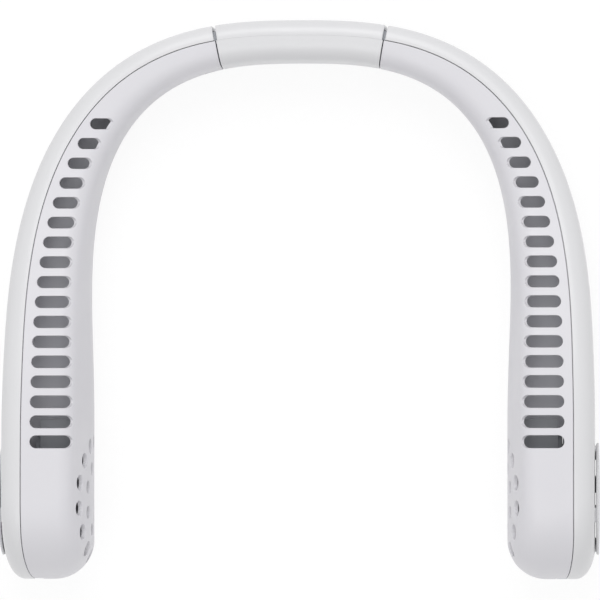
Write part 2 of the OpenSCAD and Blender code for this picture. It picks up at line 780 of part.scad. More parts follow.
module screw_plug(left) {
    color(plug_grey) on_side(left)
        along_screw(face_y + fit_gap) cylinder(d = plug_d, h = plug_t - 2 * fit_gap, $fn = 48);
}

// Hinge bracket of an arm: a knuckle on the pin and a web with the screw boss
module hinge_bracket(left) {
    color("#7c7f85") on_side(left)
        difference() {
            union() {
                at_joint() translate([0, 0, bracket_z]) cylinder(d = knuckle_d, h = bracket_l, $fn = 48);
                at_joint()
                    translate([0, -web_t / 2, bracket_z])
                        cube([well_x + well_r, web_t, bracket_l]);
                along_screw(well_y + well_floor + fit_gap)
                    cylinder(r = well_r * 0.85, h = -well_y - well_floor - fit_gap, $fn = 48);
            }
            at_joint()
                translate([0, 0, bracket_z - over])
                    cylinder(d = pin_d + 2 * bore_clear, h = bracket_l + 2 * over, $fn = 48);
            along_screw(well_y)
                cylinder(d = screw_d + 2 * fit_gap, h = -well_y - web_t * 0.6, $fn = 32);
        }
}

module hinge_pin(left) {
    color(steel) on_side(left)
        at_joint()
            translate([0, 0, frame_low_z])
                cylinder(d = pin_d, h = frame_high_z + knuckle_l - frame_low_z, $fn = 48);
}

// Wire bundle of an arm, along the inside of the outer shell
wire_z = wall + outer_edge_r;
wire_in = wall + seat_gap + wire_d / 2;
wire_end_gap = 6;
module arm_wire(left) {
    phi = joint_angle - degrees_for(wire_end_gap, joint_angle);
    color("#30343a") on_side(left)
        wire(concat(
            [for (i = [0 : arch_steps]) let (p = inset_point(phi * pow(1 - i / arch_steps, station_share),
                    wire_in)) [p[0], p[1], wire_z]],
            [[face_out_x - wire_in, lerp(arch_y, divider_low_y, 0.5), wire_z],
             [face_out_x - wire_in, divider_low_y, wire_z]]), wire_d);
}

// Circuit board across the back of a blower, cut round to fit the pod
module board_outline() {
    intersection() {
        circle(r = house_r + housing_wall, $fn = 96);
        translate([-house_r - housing_wall, -house_r]) square([1.7 * house_r, 2 * house_r]);
    }
    translate([-tip_board_l, -tip_board_w / 2]) square([tip_board_l, tip_board_w]);
}
tip_board_l = pod_y - switch_y - seat_gap;
tip_board_w = 1.3 * port_w;
chip_w = 5;
chip_t = 0.9;
coil_d = 5;
coil_h = 2.2;
module board(left) {
    color(board_green) on_side(left) {
        on_pod(board_x) linear_extrude(board_t) board_outline();
        // Chips and a coil on the outer side
        on_pod(board_x + board_t) {
            translate([-1.2 * chip_w, -2 * chip_w, 0]) cube([chip_w, chip_w, chip_t]);
            translate([0.4 * chip_w, chip_w, 0]) cube([0.8 * chip_w, 0.6 * chip_w, 1.3 * chip_t]);
            translate([-2 * coil_d, 1.2 * coil_d, 0]) cylinder(d = coil_d, h = coil_h, $fn = 32);
        }
    }
}
// Push switch on the board's tip, under the button
// Turns its children so that their z axis runs along +Y from the switch's lower face
module at_switch(d) {
    translate([tip_feature_x, switch_y + d, pod_r]) rotate([-90, 0, 0]) children();
}
module button_switch() {
    color("#202226")
        difference() {
            translate([board_x - 0.85 * port_h, switch_y, pod_r - switch_l / 2])
                cube([0.85 * port_h, switch_h, switch_l]);
            at_switch(-over)
                cylinder(d = plunger_d + 2 * fit_gap, h = over + 2 * button_travel + seat_gap, $fn = 32);
        }
}

// Plunger of the switch, which the button pushes in
module switch_plunger() {
    color("#d9dbe0")
        at_switch(-button_travel) cylinder(d = plunger_d, h = 2 * button_travel, $fn = 32);
}

// Power button: a pill that follows the rim, with a flange inside the shell
module power_button() {
    color("#d3d6dc")
        union() {
            intersection() {
                at_tip(tip_y - over) pill(button_l, button_w, over + wall + 2 * seat_gap);
                on_pod(tip_feature_x - button_w) cylinder(r = pod_r, h = 2 * button_w, $fn = 96);
            }
            intersection() {
                at_tip(tip_y)
                    pill(button_l + 6 * button_clear, button_w + 2 * button_clear,
                        wall + seat_gap + button_flange);
                on_pod(tip_feature_x - button_w)
                    cylinder(r = pod_r - wall - seat_gap, h = 2 * button_w, $fn = 96);
            }
        }
}

module led_pipes() {
    color("#e9f4ff")
        at_pipes()
            translate([0, 0, pod_r - pipe_l])
                cylinder(d = pipe_d - 2 * fit_gap, h = pipe_l - fit_gap, $fn = 32);
}

// Charging socket: a metal shell with its tongue
port_wall = 0.3;
port_in = 0.5;
module usb_port() {
    color("#9ea2a8") on_side(true)
        at_tip(tip_y + port_in) {
            difference() {
                pill(port_w, port_h, port_l);
                translate([0, 0, -over])
                    pill(port_w - 2 * port_wall, port_h - 2 * port_wall, port_l + over - 3 * port_wall);
            }
            translate([-port_w * 0.35, -port_h * 0.11, port_wall])
                cube([port_w * 0.7, port_h * 0.22, port_l - 3 * port_wall]);
        }
}

// Impeller: hub cup, back plate, front ring and curved blades
blade_t = 0.7;
blade_in_share = 0.76;
blade_sweep = 14;
blade_points = 4;
hub_r = stator_d / 2 + 0.4 + magnet_t + fit_gap + hub_wall;
function blade_arc(shift) = [for (i = [0 : blade_points]) let (
        s = i / blade_points,
        r = impeller_d / 2 * lerp(blade_in_share, 1, s),
        a = blade_sweep * s * s)
    [r * cos(a) - shift * sin(a), r * sin(a) + shift * cos(a)]];
module impeller(left) {
    color("#c3c7cd") on_side(left)
        on_pod(impeller_x) {
            linear_extrude(impeller_w)
                intersection() {
                    circle(d = impeller_d, $fn = 96);
                    union()
                        for (k = [0 : blade_count - 1])
                            rotate(360 * k / blade_count)
                                polygon(concat(blade_arc(-blade_t / 2), flip(blade_arc(blade_t / 2))));
                }
            difference() {
                union() {
                    cylinder(r = hub_r, h = impeller_w, $fn = 64);
                    translate([0, 0, impeller_w - hub_wall])
                        cylinder(d = impeller_d - fit_gap, h = hub_wall, $fn = 96);
                }
                translate([0, 0, hub_wall])
                    cylinder(r = hub_r - hub_wall, h = impeller_w, $fn = 64);
                translate([0, 0, -over])
                    cylinder(r = shaft_d / 2 + fit_gap / 2, h = 2 * over + hub_wall, $fn = 32);
            }
            difference() {
                cylinder(d = impeller_d - fit_gap, h = hub_wall, $fn = 96);
                translate([0, 0, -over])
                    cylinder(d = impeller_d * 0.9, h = hub_wall + 2 * over, $fn = 96);
            }
        }
}

module shaft(left) {
    color(steel) on_side(left)
        on_pod(impeller_x) cylinder(d = shaft_d, h = base_x - impeller_x - fit_gap, $fn = 32);
}

module magnet_ring(left) {
    color("#4a4d52") on_side(left)
        on_pod(impeller_x + hub_wall + fit_gap)
            difference() {
                cylinder(r = hub_r - hub_wall - fit_gap / 2, h = impeller_w - 2 * hub_wall, $fn = 64);
                translate([0, 0, -over])
                    cylinder(r = hub_r - hub_wall - fit_gap / 2 - magnet_t, h = impeller_w + over, $fn = 64);
            }
}

// Bridge: two shells, a soft sleeve, a frame with the hinge knuckles
bridge_steps = 8;
function bridge_phis(gap) = let (p = joint_angle + degrees_for(gap, joint_angle))
    [for (i = [0 : bridge_steps]) lerp(180 - p, p, i / bridge_steps)];
function outer_wall_ring(s, near, far, cut) = let (u = s[3] - cut)
    placed(s, concat(
        [[u, near]], outer_half(inset_station(s, near), near), [[u, s[5] - near]],
        [[u, s[5] - far]], flip(outer_half(inset_station(s, far), far)), [[u, far]]));
function inner_wall_ring(s, near, far, cut) = let (u = s[3] - cut)
    placed(s, concat(
        [[u, s[5] - near]], inner_half(inset_station(s, near), near), [[u, near]],
        [[u, far]], flip(inner_half(inset_station(s, far), far)), [[u, s[5] - far]]));
function inset_station(s, inset) =
    [s[0], s[1], s[2] - inset, s[3] - inset, s[4] + inset, s[5] - inset];

module bridge_outer_shell() {
    color(shell_white)
        wall_loft([for (p = bridge_phis(joint_gap_outer / 2)) let (s = arch_station(p, 0))
            outer_wall_ring(s, 0, wall, seam_in(s[0][1]) - seam_gap / 2)]);
}

bridge_boss_phi = 4;
bridge_boss_r = 2;
frame_in = 4.3;
frame_t = 1.6;
// Turns its children so that their z axis runs inwards from the outer face
module into_bridge(side, d) {
    p = inset_point(90 + side * bridge_boss_phi, d);
    translate([p[0], p[1], bridge_depth / 2])
        rotate([0, 0, side * bridge_boss_phi]) rotate([90, 0, 0]) children();
}
module bridge_inner_shell() {
    color(tub_white)
        difference() {
            union() {
                wall_loft([for (p = bridge_phis(joint_gap_inner / 2)) let (s = arch_station(p, 0))
                    inner_wall_ring(s, 0, wall, seam_in(s[0][1]) + seam_gap / 2)]);
                for (side = [-1, 1])
                    into_bridge(side, frame_in + frame_t + fit_gap)
                        cylinder(r = bridge_boss_r,
                            h = bridge_t - wall / 2 - frame_in - frame_t - fit_gap, $fn = 32);
            }
            for (side = [-1, 1])
                into_bridge(side, frame_in + frame_t)
                    cylinder(d = screw_d + 2 * fit_gap, h = bridge_t - 2 * wall - frame_in - frame_t, $fn = 32);
        }
}

// Soft sleeve under the outer shell, which reaches into both arms and shows in the gaps
sleeve_t = 1.2;
sleeve_reach = 3.5;
module bridge_sleeve() {
    color(sleeve_grey)
        wall_loft([for (p = bridge_phis(-sleeve_reach)) let (s = arch_station(p, 0))
            outer_wall_ring(s, wall + seat_gap, wall + seat_gap + sleeve_t, seam_in(s[0][1]))]);
}

// Stiff frame of the bridge with the outer knuckles of both hinges
frame_end = 0.75 * knuckle_d;
// How far the knuckles stand past the plate's edges
frame_lip = 0.3;
module bridge_frame() {
    phis = bridge_phis(0);
    color("#9b9ea5")
        difference() {
            union() {
                translate([0, 0, frame_low_z + frame_lip])
                    linear_extrude(frame_high_z + knuckle_l - frame_low_z - 2 * frame_lip)
                        polygon(concat(
                            [for (p = phis) inset_point(p, frame_in)],
                            [for (p = flip(phis)) inset_point(p, frame_in + frame_t)]));
                for (left = [false, true], z = [frame_low_z, frame_high_z])
                    on_side(left)
                        at_joint() translate([0, 0, z]) cylinder(d = knuckle_d, h = knuckle_l, $fn = 48);
            }
            for (left = [false, true])
                on_side(left)
                    at_joint() {
                        // Room for the arm's knuckle
                        translate([-frame_end, -knuckle_d, bracket_z - knuckle_gap])
                            cube([frame_end + over, 2 * knuckle_d, bracket_l + 2 * knuckle_gap]);
                        translate([0, 0, frame_low_z - over])
                            cylinder(d = pin_d + 2 * bore_clear,
                                h = frame_high_z + knuckle_l - frame_low_z + 2 * over, $fn = 48);
                    }
            for (side = [-1, 1])
                into_bridge(side, frame_in - over)
                    cylinder(d = screw_d + 2 * fit_gap, h = frame_t + 2 * over, $fn = 32);
        }
}

module bridge_screws() {
    color(steel)
        for (side = [-1, 1])
            into_bridge(side, frame_in - bridge_head_h)
                difference() {
                    union() {
                        cylinder(d = screw_head_d, h = bridge_head_h, $fn = 48);
                        cylinder(d = screw_d, h = bridge_head_h + frame_t + 2.5 * screw_d, $fn = 32);
                    }
                    cross_drive(screw_head_d, bridge_head_h);
                }
}
bridge_head_h = 1;

// Wire bundle through the bridge, under the frame
module bridge_wire() {
    d = frame_in + frame_t + seat_gap + wire_d / 2;
    color("#30343a")
        wire([for (p = bridge_phis(knuckle_d)) let (q = inset_point(p, d))
            [q[0], q[1], frame_low_z + wire_d / 2]], wire_d);
}

bridge_outer_shell();
bridge_inner_shell();
bridge_sleeve();
bridge_frame();
bridge_screws();
bridge_wire();
hinge_pin(true);  // left_hinge_pin
hinge_pin(false);  // right_hinge_pin
inner_shell(true);  // left_inner_shell
outer_shell(true);  // left_outer_shell
duct_divider(true);  // left_duct_divider
battery(true);  // left_battery
fan_housing(true);  // left_fan_housing
motor_base(true);  // left_motor_base
stator(true);  // left_stator
bearing(true);  // left_bearing
intake_disc(true);  // left_intake_disc
case_screws(true);  // left_case_screws
screw_plug(true);  // left_screw_plug
hinge_bracket(true);  // left_hinge_bracket
arm_wire(true);  // left_wire
board(true);  // left_charge_board
usb_port();  // left_usb_port
impeller(true);  // left_impeller
shaft(true);  // left_shaft
magnet_ring(true);  // left_magnet_ring
inner_shell(false);  // right_inner_shell
outer_shell(false);  // right_outer_shell
duct_divider(false);  // right_duct_divider
battery(false);  // right_battery
fan_housing(false);  // right_fan_housing
motor_base(false);  // right_motor_base
stator(false);  // right_stator
bearing(false);  // right_bearing
intake_disc(false);  // right_intake_disc
case_screws(false);  // right_case_screws
screw_plug(false);  // right_screw_plug
hinge_bracket(false);  // right_hinge_bracket
arm_wire(false);  // right_wire
board(false);  // right_control_board
button_switch();  // right_button_switch
led_pipes();  // right_led_pipes
impeller(false);  // right_impeller
shaft(false);  // right_shaft
magnet_ring(false);  // right_magnet_ring
power_button();
switch_plunger();
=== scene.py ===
"""Electric neck fan on a pale table, seen from above its front. Lengths are in mm up to each mesh."""

import bmesh
import bpy
import numpy as np
from mathutils import Matrix, Vector


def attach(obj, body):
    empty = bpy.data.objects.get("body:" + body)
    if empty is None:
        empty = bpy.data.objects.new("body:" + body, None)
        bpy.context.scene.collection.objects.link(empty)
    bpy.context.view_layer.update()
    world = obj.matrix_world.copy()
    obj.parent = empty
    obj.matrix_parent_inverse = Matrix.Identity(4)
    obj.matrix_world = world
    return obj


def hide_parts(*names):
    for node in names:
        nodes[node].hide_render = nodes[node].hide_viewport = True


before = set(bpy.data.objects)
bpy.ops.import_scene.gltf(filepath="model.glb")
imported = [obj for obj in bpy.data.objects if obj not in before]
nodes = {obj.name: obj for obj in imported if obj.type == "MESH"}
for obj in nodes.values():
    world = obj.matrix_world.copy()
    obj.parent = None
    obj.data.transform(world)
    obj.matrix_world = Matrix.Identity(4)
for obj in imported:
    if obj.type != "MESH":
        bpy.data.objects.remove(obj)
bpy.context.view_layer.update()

# Arm inner shells
# The neck side half of each arm: one thin moulding of white ABS with the air slots on its front
# and back, the intake holes at the pod and a round screw hole near the hinge. It meets the outer
# shell at the seam and is closed round the pod's tip.

# The arch of the band's centre line, the pods, the band's thickness, depth, seam and rounded neck side
BAND_HALF_W, ARCH_RISE, ARCH_N = 83.9, 104.5, 2.75
POD_R, POD_Y, TIP_Y = 26.8, -66.75, -93.55
ARCH_Y, ARCH_TOP_Y, BACK_Y = -18.05, 86.45, 93.55
ARM_T, BRIDGE_T, BRIDGE_DEPTH = 29.2, 14.2, 28.5
TAPER_SPAN, TAPER_POWER, ARM_SEAM_IN, BRIDGE_SEAM_IN = 126.5, 1.55, 6.9, 5.2
CROWN_R, NECK_EDGE_R, TIP_EDGE_R = 57.0, 6.5, 13
# Thinner than the real wall of 1.6 mm, so that the slots look as open as those of a drafted moulding
SKIN = 0.9
# Stations run along the band. The normal's turn grows with their power, and reaches JOINT_TURN at the joint.
STRAIGHT_RATE, TURN_POWER, JOINT_TURN = 153.3, 1.75, 79.5
JOINT_STATION = np.float64((JOINT_TURN / 90) ** (1 / TURN_POWER))
LOWEST_STATION, TOP_STATION = -0.6, 0.99999


def lerp(a, b, share):
    """a plus a share of the way to b."""
    return a + (b - a) * share


def centre_line(s):
    """Station s to the band's centre point and outward normal. From 1 at the bridge's middle down to 0 the
    normal stands at 90 s^1.75 degrees on a superellipse of power 2.75; below 0 the line is straight."""
    phi = np.radians(90 * np.clip(s, 0, TOP_STATION) ** TURN_POWER)
    share = 1 / (1 + (np.tan(phi) * ARCH_RISE / BAND_HALF_W) ** (ARCH_N / (ARCH_N - 1)))
    x = BAND_HALF_W * share ** (1 / ARCH_N)
    y = ARCH_Y + ARCH_RISE * (1 - share) ** (1 / ARCH_N) + STRAIGHT_RATE * np.minimum(s, 0)
    return np.stack([x, y], -1), np.stack([np.cos(phi), np.sin(phi)], -1)


def taper(y):
    """Share of the way from the thick arms to the thin bridge: the share of the span's height, to a power."""
    return np.clip((y - ARCH_TOP_Y) / TAPER_SPAN + 1, 0, 1) ** TAPER_POWER


def thickness(y):
    """Thickness of the band, from the arms to the bridge."""
    return lerp(ARM_T, BRIDGE_T, taper(y))


def depth(y):
    """Depth of the band along Z: half a cosine wave from the pods' middles to the bridge's back."""
    wave = np.cos(np.pi * np.clip((y - POD_Y) / (BACK_Y - POD_Y), 0, 1))
    return lerp(BRIDGE_DEPTH, 2 * POD_R, (1 + wave) / 2)


def seam_in(y):
    """Distance of the seam from the face that looks away from the neck."""
    return lerp(ARM_SEAM_IN, BRIDGE_SEAM_IN, taper(y))


def neck_profile(half, t, crown=CROWN_R, edge=NECK_EDGE_R):
    """Neck side of a section: the place across the band of the edge rounding's centre, and the lean at which
    that rounding touches the crown circle from inside."""
    lean = np.arcsin((half - edge) / (crown - edge))
    return crown - t / 2 - (crown - edge) * np.cos(lean), lean


def face_height(u, half, t, inset):
    """Height of the front face above mid depth at place u across the band: flat, then the edge circle, then
    the crown circle, all set in by the same distance."""
    u_c, lean = neck_profile(half, t)
    r, big = NECK_EDGE_R - inset, CROWN_R - inset
    round_z = half - NECK_EDGE_R + np.sqrt(np.maximum(r**2 - (u_c - u) ** 2, 0))
    crown_z = np.sqrt(np.maximum(big**2 - (CROWN_R - t / 2 - u) ** 2, 0))
    return np.where(u >= u_c, half - inset, np.where(u >= u_c - r * np.cos(lean), round_z, crown_z))


def neck_place(q, half, t, inset, crown=CROWN_R, edge=NECK_EDGE_R):
    """The same curve the other way round: the place across the band at distance q from mid depth."""
    u_c, lean = neck_profile(half, t, crown, edge)
    crown_u = crown - t / 2 - np.sqrt(np.maximum((crown - inset) ** 2 - q**2, 0))
    round_u = u_c - np.sqrt(np.maximum((edge - inset) ** 2 - (q - half + edge) ** 2, 0))
    return np.where(q <= half - edge + (edge - inset) * np.sin(lean), crown_u, round_u)


def station_where(test, shape):
    """Station at which test(s) changes from negative to positive, found by halving on whole arrays."""
    low, high = np.full(shape, LOWEST_STATION), np.full(shape, TOP_STATION)
    for _ in range(44):
        mid = (low + high) / 2
        below = test(mid) < 0
        low, high = np.where(below, mid, low), np.where(below, high, mid)
    return (low + high) / 2


def on_line(s, across):
    """Point in the XY plane at station s, where across(y) gives the distance out from the centre line."""
    c, n = centre_line(s)
    return c + n * across(c[..., 1])[..., None]


def along(s, distance):
    """Station at a short distance up the band from station s."""
    step = 1e-4
    rate = np.linalg.norm(centre_line(s + step)[0] - centre_line(s - step)[0], axis=-1) / (2 * step)
    return s + distance / rate


def level_station(across, y):
    """Stations at which a line along the band crosses the heights y."""
    return station_where(lambda s: on_line(s, across)[..., 1] - y, np.shape(y))


def band_place(xy):
    """XY points to their station and place across the band, by halving on the distance along the tangent."""

    def past(s):
        c, n = centre_line(s)
        return (xy[..., 0] - c[..., 0]) * n[..., 1] - (xy[..., 1] - c[..., 1]) * n[..., 0]

    s = station_where(past, xy.shape[:-1])
    c, n = centre_line(s)
    return s, ((xy - c) * n).sum(-1)


def face_point(xy, drop, inset, side):
    """Lifts XY points on to the front face, or with side -1 on to the back face, then sinks them by drop."""
    s, u = band_place(xy)
    y = centre_line(s)[0][..., 1]
    half = depth(y) / 2
    z = half + side * (face_height(u, half, thickness(y), inset) - drop)
    return np.concatenate([xy, np.broadcast_to(z, xy.shape[:-1])[..., None]], -1)


def neck_side(p, q, inset):
    """Place across the band of the pod's neck side, at p above and q in front of the pod's middle. Above the
    middle it is the band's section; below, the same curve turned round the pod, with a wider corner and a
    crown that grows flat towards the tip."""
    half = depth(POD_Y + p) / 2
    upper = neck_place(np.abs(POD_R + q - half), half, ARM_T, inset)
    reach = np.maximum(np.hypot(p, q), 1e-9)
    front_share = np.clip((q / reach) ** 2, 1e-4, 1)
    lower = neck_place(reach, POD_R, ARM_T, inset, CROWN_R / front_share,
                       lerp(TIP_EDGE_R, NECK_EDGE_R, front_share))
    return np.where(p >= 0, upper, lower)


def pod_point(pq, drop, inset, side_u, way=1):
    """Points of a pod's side face from their place round the pod's middle. drop goes into the wall, whose way
    is outwards on the neck side."""
    x = BAND_HALF_W + side_u(pq[..., 0], pq[..., 1], inset) + way * drop
    return np.stack([np.broadcast_to(x, pq.shape[:-1]), POD_Y + pq[..., 0], POD_R + pq[..., 1]], -1)


# Power that draws the lines of a grid together towards a rounded edge
CROWDING = 1.3


def hole_cells(border, outline, out, inner_outline, place, rim, inner_border=None, wall=SKIN, collar=0.0):
    """Grids round like holes in a wall. Rings run from each cell's border to the outline widened by the rim
    radius, round the rim on a quarter circle, down the wall and out again on the wall's inner side, which a
    collar deepens round the hole by a parabola."""
    inner_border = border if inner_border is None else inner_border
    bend = np.radians(np.linspace(0, 90, 5))[:, None]
    share = (np.linspace(0, 1, 10) ** CROWDING)[:, None, None]
    edge = (outline + out * rim)[:, None]
    top = place(lerp(edge, border[:, None], share), 0.0, 0.0)
    rim_ring = outline[:, None] + out[:, None] * (rim * (1 - np.sin(bend)))[..., None]
    fillet = place(rim_ring, rim * (1 - np.cos(bend)), 0.0)
    low_share = share[::3]
    low = place(lerp(inner_outline[:, None], inner_border[:, None], low_share),
                collar * (1 - low_share[..., 0]) ** 2, wall)
    low[:, -1] = place(inner_border, 0.0, wall)
    walls = np.stack([fillet[:, -1], low[:, 0]], 1)
    return [(g, False, True) for part in (top, fillet, walls, low) for g in part]


# Distances in metres under which two points are one and an edge has no length, and the turn of a sharp edge
MERGE_AT, NO_LENGTH, SHARP_TURN = 4e-6, 1e-7, np.radians(50)


def piece(name, grids, mirrored=False):
    """One closed mesh from point grids, each rows by columns, closed round its rows or columns where it says
    so. Shared borders are merged and the faces turned outwards."""
    points, faces, start = [], [], 0
    for grid, close_rows, close_columns in grids:
        a, b = grid.shape[:2]
        index = start + np.arange(a * b).reshape(a, b)
        index = np.concatenate([index, index[:1]]) if close_rows else index
        index = np.concatenate([index, index[:, :1]], 1) if close_columns else index
        corners = [index[:-1, :-1], index[:-1, 1:], index[1:, 1:], index[1:, :-1]]
        faces.append(np.stack(corners, -1).reshape(-1, 4))
        points.append(grid.reshape(-1, 3))
        start += a * b
    points = np.concatenate(points) * 0.001 * ((-1, 1, 1) if mirrored else (1, 1, 1))
    mesh = bpy.data.meshes.new(name)
    mesh.from_pydata(points.tolist(), [], np.concatenate(faces).tolist())
    work = bmesh.new()
    work.from_mesh(mesh)
    bmesh.ops.remove_doubles(work, verts=work.verts, dist=MERGE_AT)
    bmesh.ops.dissolve_degenerate(work, edges=work.edges, dist=NO_LENGTH)
    bmesh.ops.recalc_face_normals(work, faces=work.faces)
    work.to_mesh(mesh)
    work.free()
    mesh.shade_smooth()
    mesh.set_sharp_from_angle(angle=SHARP_TURN)
    made = bpy.data.objects.new(name, mesh)
    bpy.context.collection.objects.link(made)
    return made


# Rows of faces run level between and across the slots and turn square to the band at the hinge. Each slot's
# cell has its own rows and columns, and a band of mesh lies beside the seam, whose edges are rounded.
SLOTS, TOP_SLOT_Y, SLOT_PITCH, TOP_SLOT_W, LOW_SLOT_W = 17, 58.8, 6.62, 3.7, 4.3
SLOT_ROWS, FACE_COLUMNS, SIDE_COLUMNS = 8, 16, 16
SEAM_GAP, SEAM_RIM, SEAM_BAND = 0.24, 0.2, 1.3
slot_y = TOP_SLOT_Y - SLOT_PITCH * np.arange(SLOTS)
slot_w = np.linspace(TOP_SLOT_W, LOW_SLOT_W, SLOTS)


def crown_edge(y, inset=0.0):
    """Place across the band where the front rounding meets the crown: the rounding's centre less its radius
    times the cosine of the lean."""
    u_c, lean = neck_profile(depth(y) / 2, thickness(y))
    return u_c - (NECK_EDGE_R - inset) * np.cos(lean)


def seam_edge(back):
    """Place across the band a distance back from the inner shell's edge at the seam, as a function of y."""
    return lambda y: thickness(y) / 2 - seam_in(y) - SEAM_GAP / 2 - back


slot_rows_y = slot_y[0] + SLOT_PITCH / 2 - SLOT_PITCH / SLOT_ROWS * np.arange(SLOTS * SLOT_ROWS + 1)
level_y = np.concatenate([slot_rows_y, np.linspace(slot_rows_y[-1], POD_Y, 9)[1:]])
level_neck = level_station(crown_edge, level_y)
level_seam = level_station(seam_edge(SEAM_BAND), level_y)

# Rows beside the hinge: the rounded end at the joint, and those of the screw hole. Each shell stays half of
# the joint's gap away from its middle. The gap is narrower on the neck side than between the trays.
PIN, PLUG_ALONG, PLUG_ACROSS = np.array([28.1261, 86.6427]), 4.86, 5.2
NECK_END_GAP, TRAY_END_GAP = 0.175, 0.5
END_STEPS, END_SUNK = np.array([0, 0.07, 0.22]), np.array([0.22, 0.065, 0.0])
PLUG_ROWS, PLUG_LEFT, PLUG_RIGHT, PLUG_REACH = 8, 5, 11, 3.2
joint_middle, joint_y = centre_line(JOINT_STATION)
joint_x = np.array([np.cos(np.radians(JOINT_TURN - 90)), np.sin(np.radians(JOINT_TURN - 90))])
joint_t = thickness(joint_middle[1])
plug_station = band_place(PIN + PLUG_ALONG * joint_x + (PLUG_ACROSS - joint_t) * joint_y)[0]
end_rows = along(along(JOINT_STATION, -NECK_END_GAP), -END_STEPS)
plug_rows = along(plug_station, np.linspace(PLUG_REACH, -PLUG_REACH, PLUG_ROWS + 1))
free_rows = np.linspace(plug_rows[-1], level_neck[0], 31)[1:-1]
neck_rows = np.concatenate([end_rows, plug_rows, free_rows, level_neck])
tilt = np.clip((plug_rows[-1] - neck_rows) / (plug_rows[-1] - level_neck[0]), 0, 1)
tilt = tilt**2 * (3 - 2 * tilt)
seam_rows = neck_rows + (level_seam[0] - level_neck[0]) * tilt
seam_rows[-len(level_y):] = level_seam

# The last rows, from above the disc to the pod's middle, end at rings round the disc
JOIN_ROWS, JOIN_RINGS, DISC_REACH = 21, 6, 22.3
turn_angles = np.linspace(0, 180, 2 * (JOIN_ROWS - 1) + SIDE_COLUMNS + 1)
first_slot, disc_row = len(neck_rows) - len(level_y), len(neck_rows) - JOIN_ROWS
column_share = (np.arange(FACE_COLUMNS + 1) / FACE_COLUMNS) ** CROWDING
neck_sunk = np.concatenate([END_SUNK, np.zeros(len(neck_rows) - len(END_SUNK))])


def sunk_by(inset, outside):
    """How far each row is set in: as it says outside, by the whole wall inside."""
    return np.full(len(outside), inset) if inset else outside


def face_rows(inset):
    """XY places of the face's columns on each row, from the crown's edge to the band beside the seam."""
    start = on_line(neck_rows, lambda y: crown_edge(y, sunk_by(inset, neck_sunk)))
    end = on_line(seam_rows, seam_edge(SEAM_BAND))
    return lerp(start[:, None], end[:, None], column_share[None, :, None])


def crown_rows(inset):
    """The crowned side from the front edge to the back edge: equal turns on the crown circle."""
    c, n = centre_line(neck_rows)
    half, t = depth(c[:, 1]) / 2, thickness(c[:, 1])
    lean = neck_profile(half, t)[1][:, None] * np.linspace(1, -1, SIDE_COLUMNS + 1)
    big = CROWN_R - sunk_by(inset, neck_sunk)[:, None]
    u = CROWN_R - t[:, None] / 2 - big * np.cos(lean)
    z = half[:, None] + big * np.sin(lean)
    return np.concatenate([c[:, None] + n[:, None] * u[..., None], z[..., None]], -1)


def frame_of(rows, a, b, c, d):
    """Border of a cell in a grid, once round from its lower left corner: rows a to b, columns c to d."""
    sides = [rows[..., b:a:-1, c, :], rows[..., a, c:d, :], rows[..., a:b, d, :], rows[..., b, d:c:-1, :]]
    return np.concatenate(sides, -2)


def slot_outlines(margin_in, margin_out, narrower, cut):
    """Outlines of the slots with round ends and their outward normals: 48 points each from below the inner
    end, with 16 steps round each end and 8 along each side. A line along the band, at the distance cut from
    the neck side, trims the inner ends of the slanting ones."""
    w = slot_w - narrower
    ends = [on_line(level_station(across, slot_y), across)[:, 0]
            for across in (lambda y: -thickness(y) / 2, lambda y: thickness(y) / 2 - seam_in(y))]
    x_in, x_out = ends[0] + margin_in + w / 2, ends[1] - margin_out - w / 2
    j = (np.arange(48) + 4) % 48
    parts, step = [j < 16, j < 24, j < 40], 180 / 16
    angle = np.radians(np.select(parts, [270 - j * step, 90, 90 - (j - 24) * step], -90))
    share = np.select(parts, [0, (j - 16) / 8, 1], (48 - j) / 8)
    out = np.stack([np.cos(angle), np.sin(angle)], -1)
    x = lerp(x_in[:, None], x_out[:, None], share)
    outline = np.stack([x, np.broadcast_to(slot_y[:, None], x.shape)], -1) + out * w[:, None, None] / 2
    s, u = band_place(outline)
    c, n = centre_line(s)
    trim = np.maximum(cut - thickness(c[..., 1]) / 2 - u, 0)
    return outline + n * trim[..., None], np.broadcast_to(out, outline.shape)


def polar(reach, angle):
    """Places round the pod's middle: angle 0 is to the front, 90 degrees is up the arm."""
    angle = np.radians(angle)
    return np.stack(np.broadcast_arrays(reach * np.sin(angle), reach * np.cos(angle)), -1)


def ring_cells(count, low, high, steps, cross=6, shift=0):
    """Borders of the equal cells of a ring between two radii, each once round, turned on by some steps. They
    have steps along each arc and cross steps between the arcs."""
    borders = []
    for k in range(count):
        a, b = 360 * (k + np.array([0, 1]) + shift / steps) / count
        borders.append(np.concatenate([
            polar(low, np.linspace(a, b, steps + 1)[:-1]),
            polar(np.linspace(low, high, cross + 1)[:-1], b),
            polar(high, np.linspace(b, a, steps + 1)[:-1]),
            polar(np.linspace(high, low, cross + 1)[:-1], a)]))
    return np.array(borders)


# The intake holes: the radius of their rims, the depth of their collars inside, and their draft
HOLE_RIM, HOLE_COLLAR, HOLE_DRAFT = 0.4, 0.5, 0.1


def round_holes(count, reach, diameter, borders, place, turn=0.0):
    """Round holes near the middle of their cells, turned on by an angle. Each point of an outline lies on
    the line from the hole's middle to a point of its cell's border."""
    middle = polar(reach, 360 * (np.arange(count) + 0.5) / count + turn)[:, None]
    out = borders - middle
    out = out / np.linalg.norm(out, axis=-1, keepdims=True)
    inner = middle + out * (diameter / 2 - HOLE_DRAFT)
    return hole_cells(borders, middle + out * diameter / 2, out, inner, place, HOLE_RIM, collar=HOLE_COLLAR)


# How far the seam steps towards the neck at the tip, and the height above the rim at which it starts to
SEAM_STEP, SEAM_RISE = 3.25, 16.5


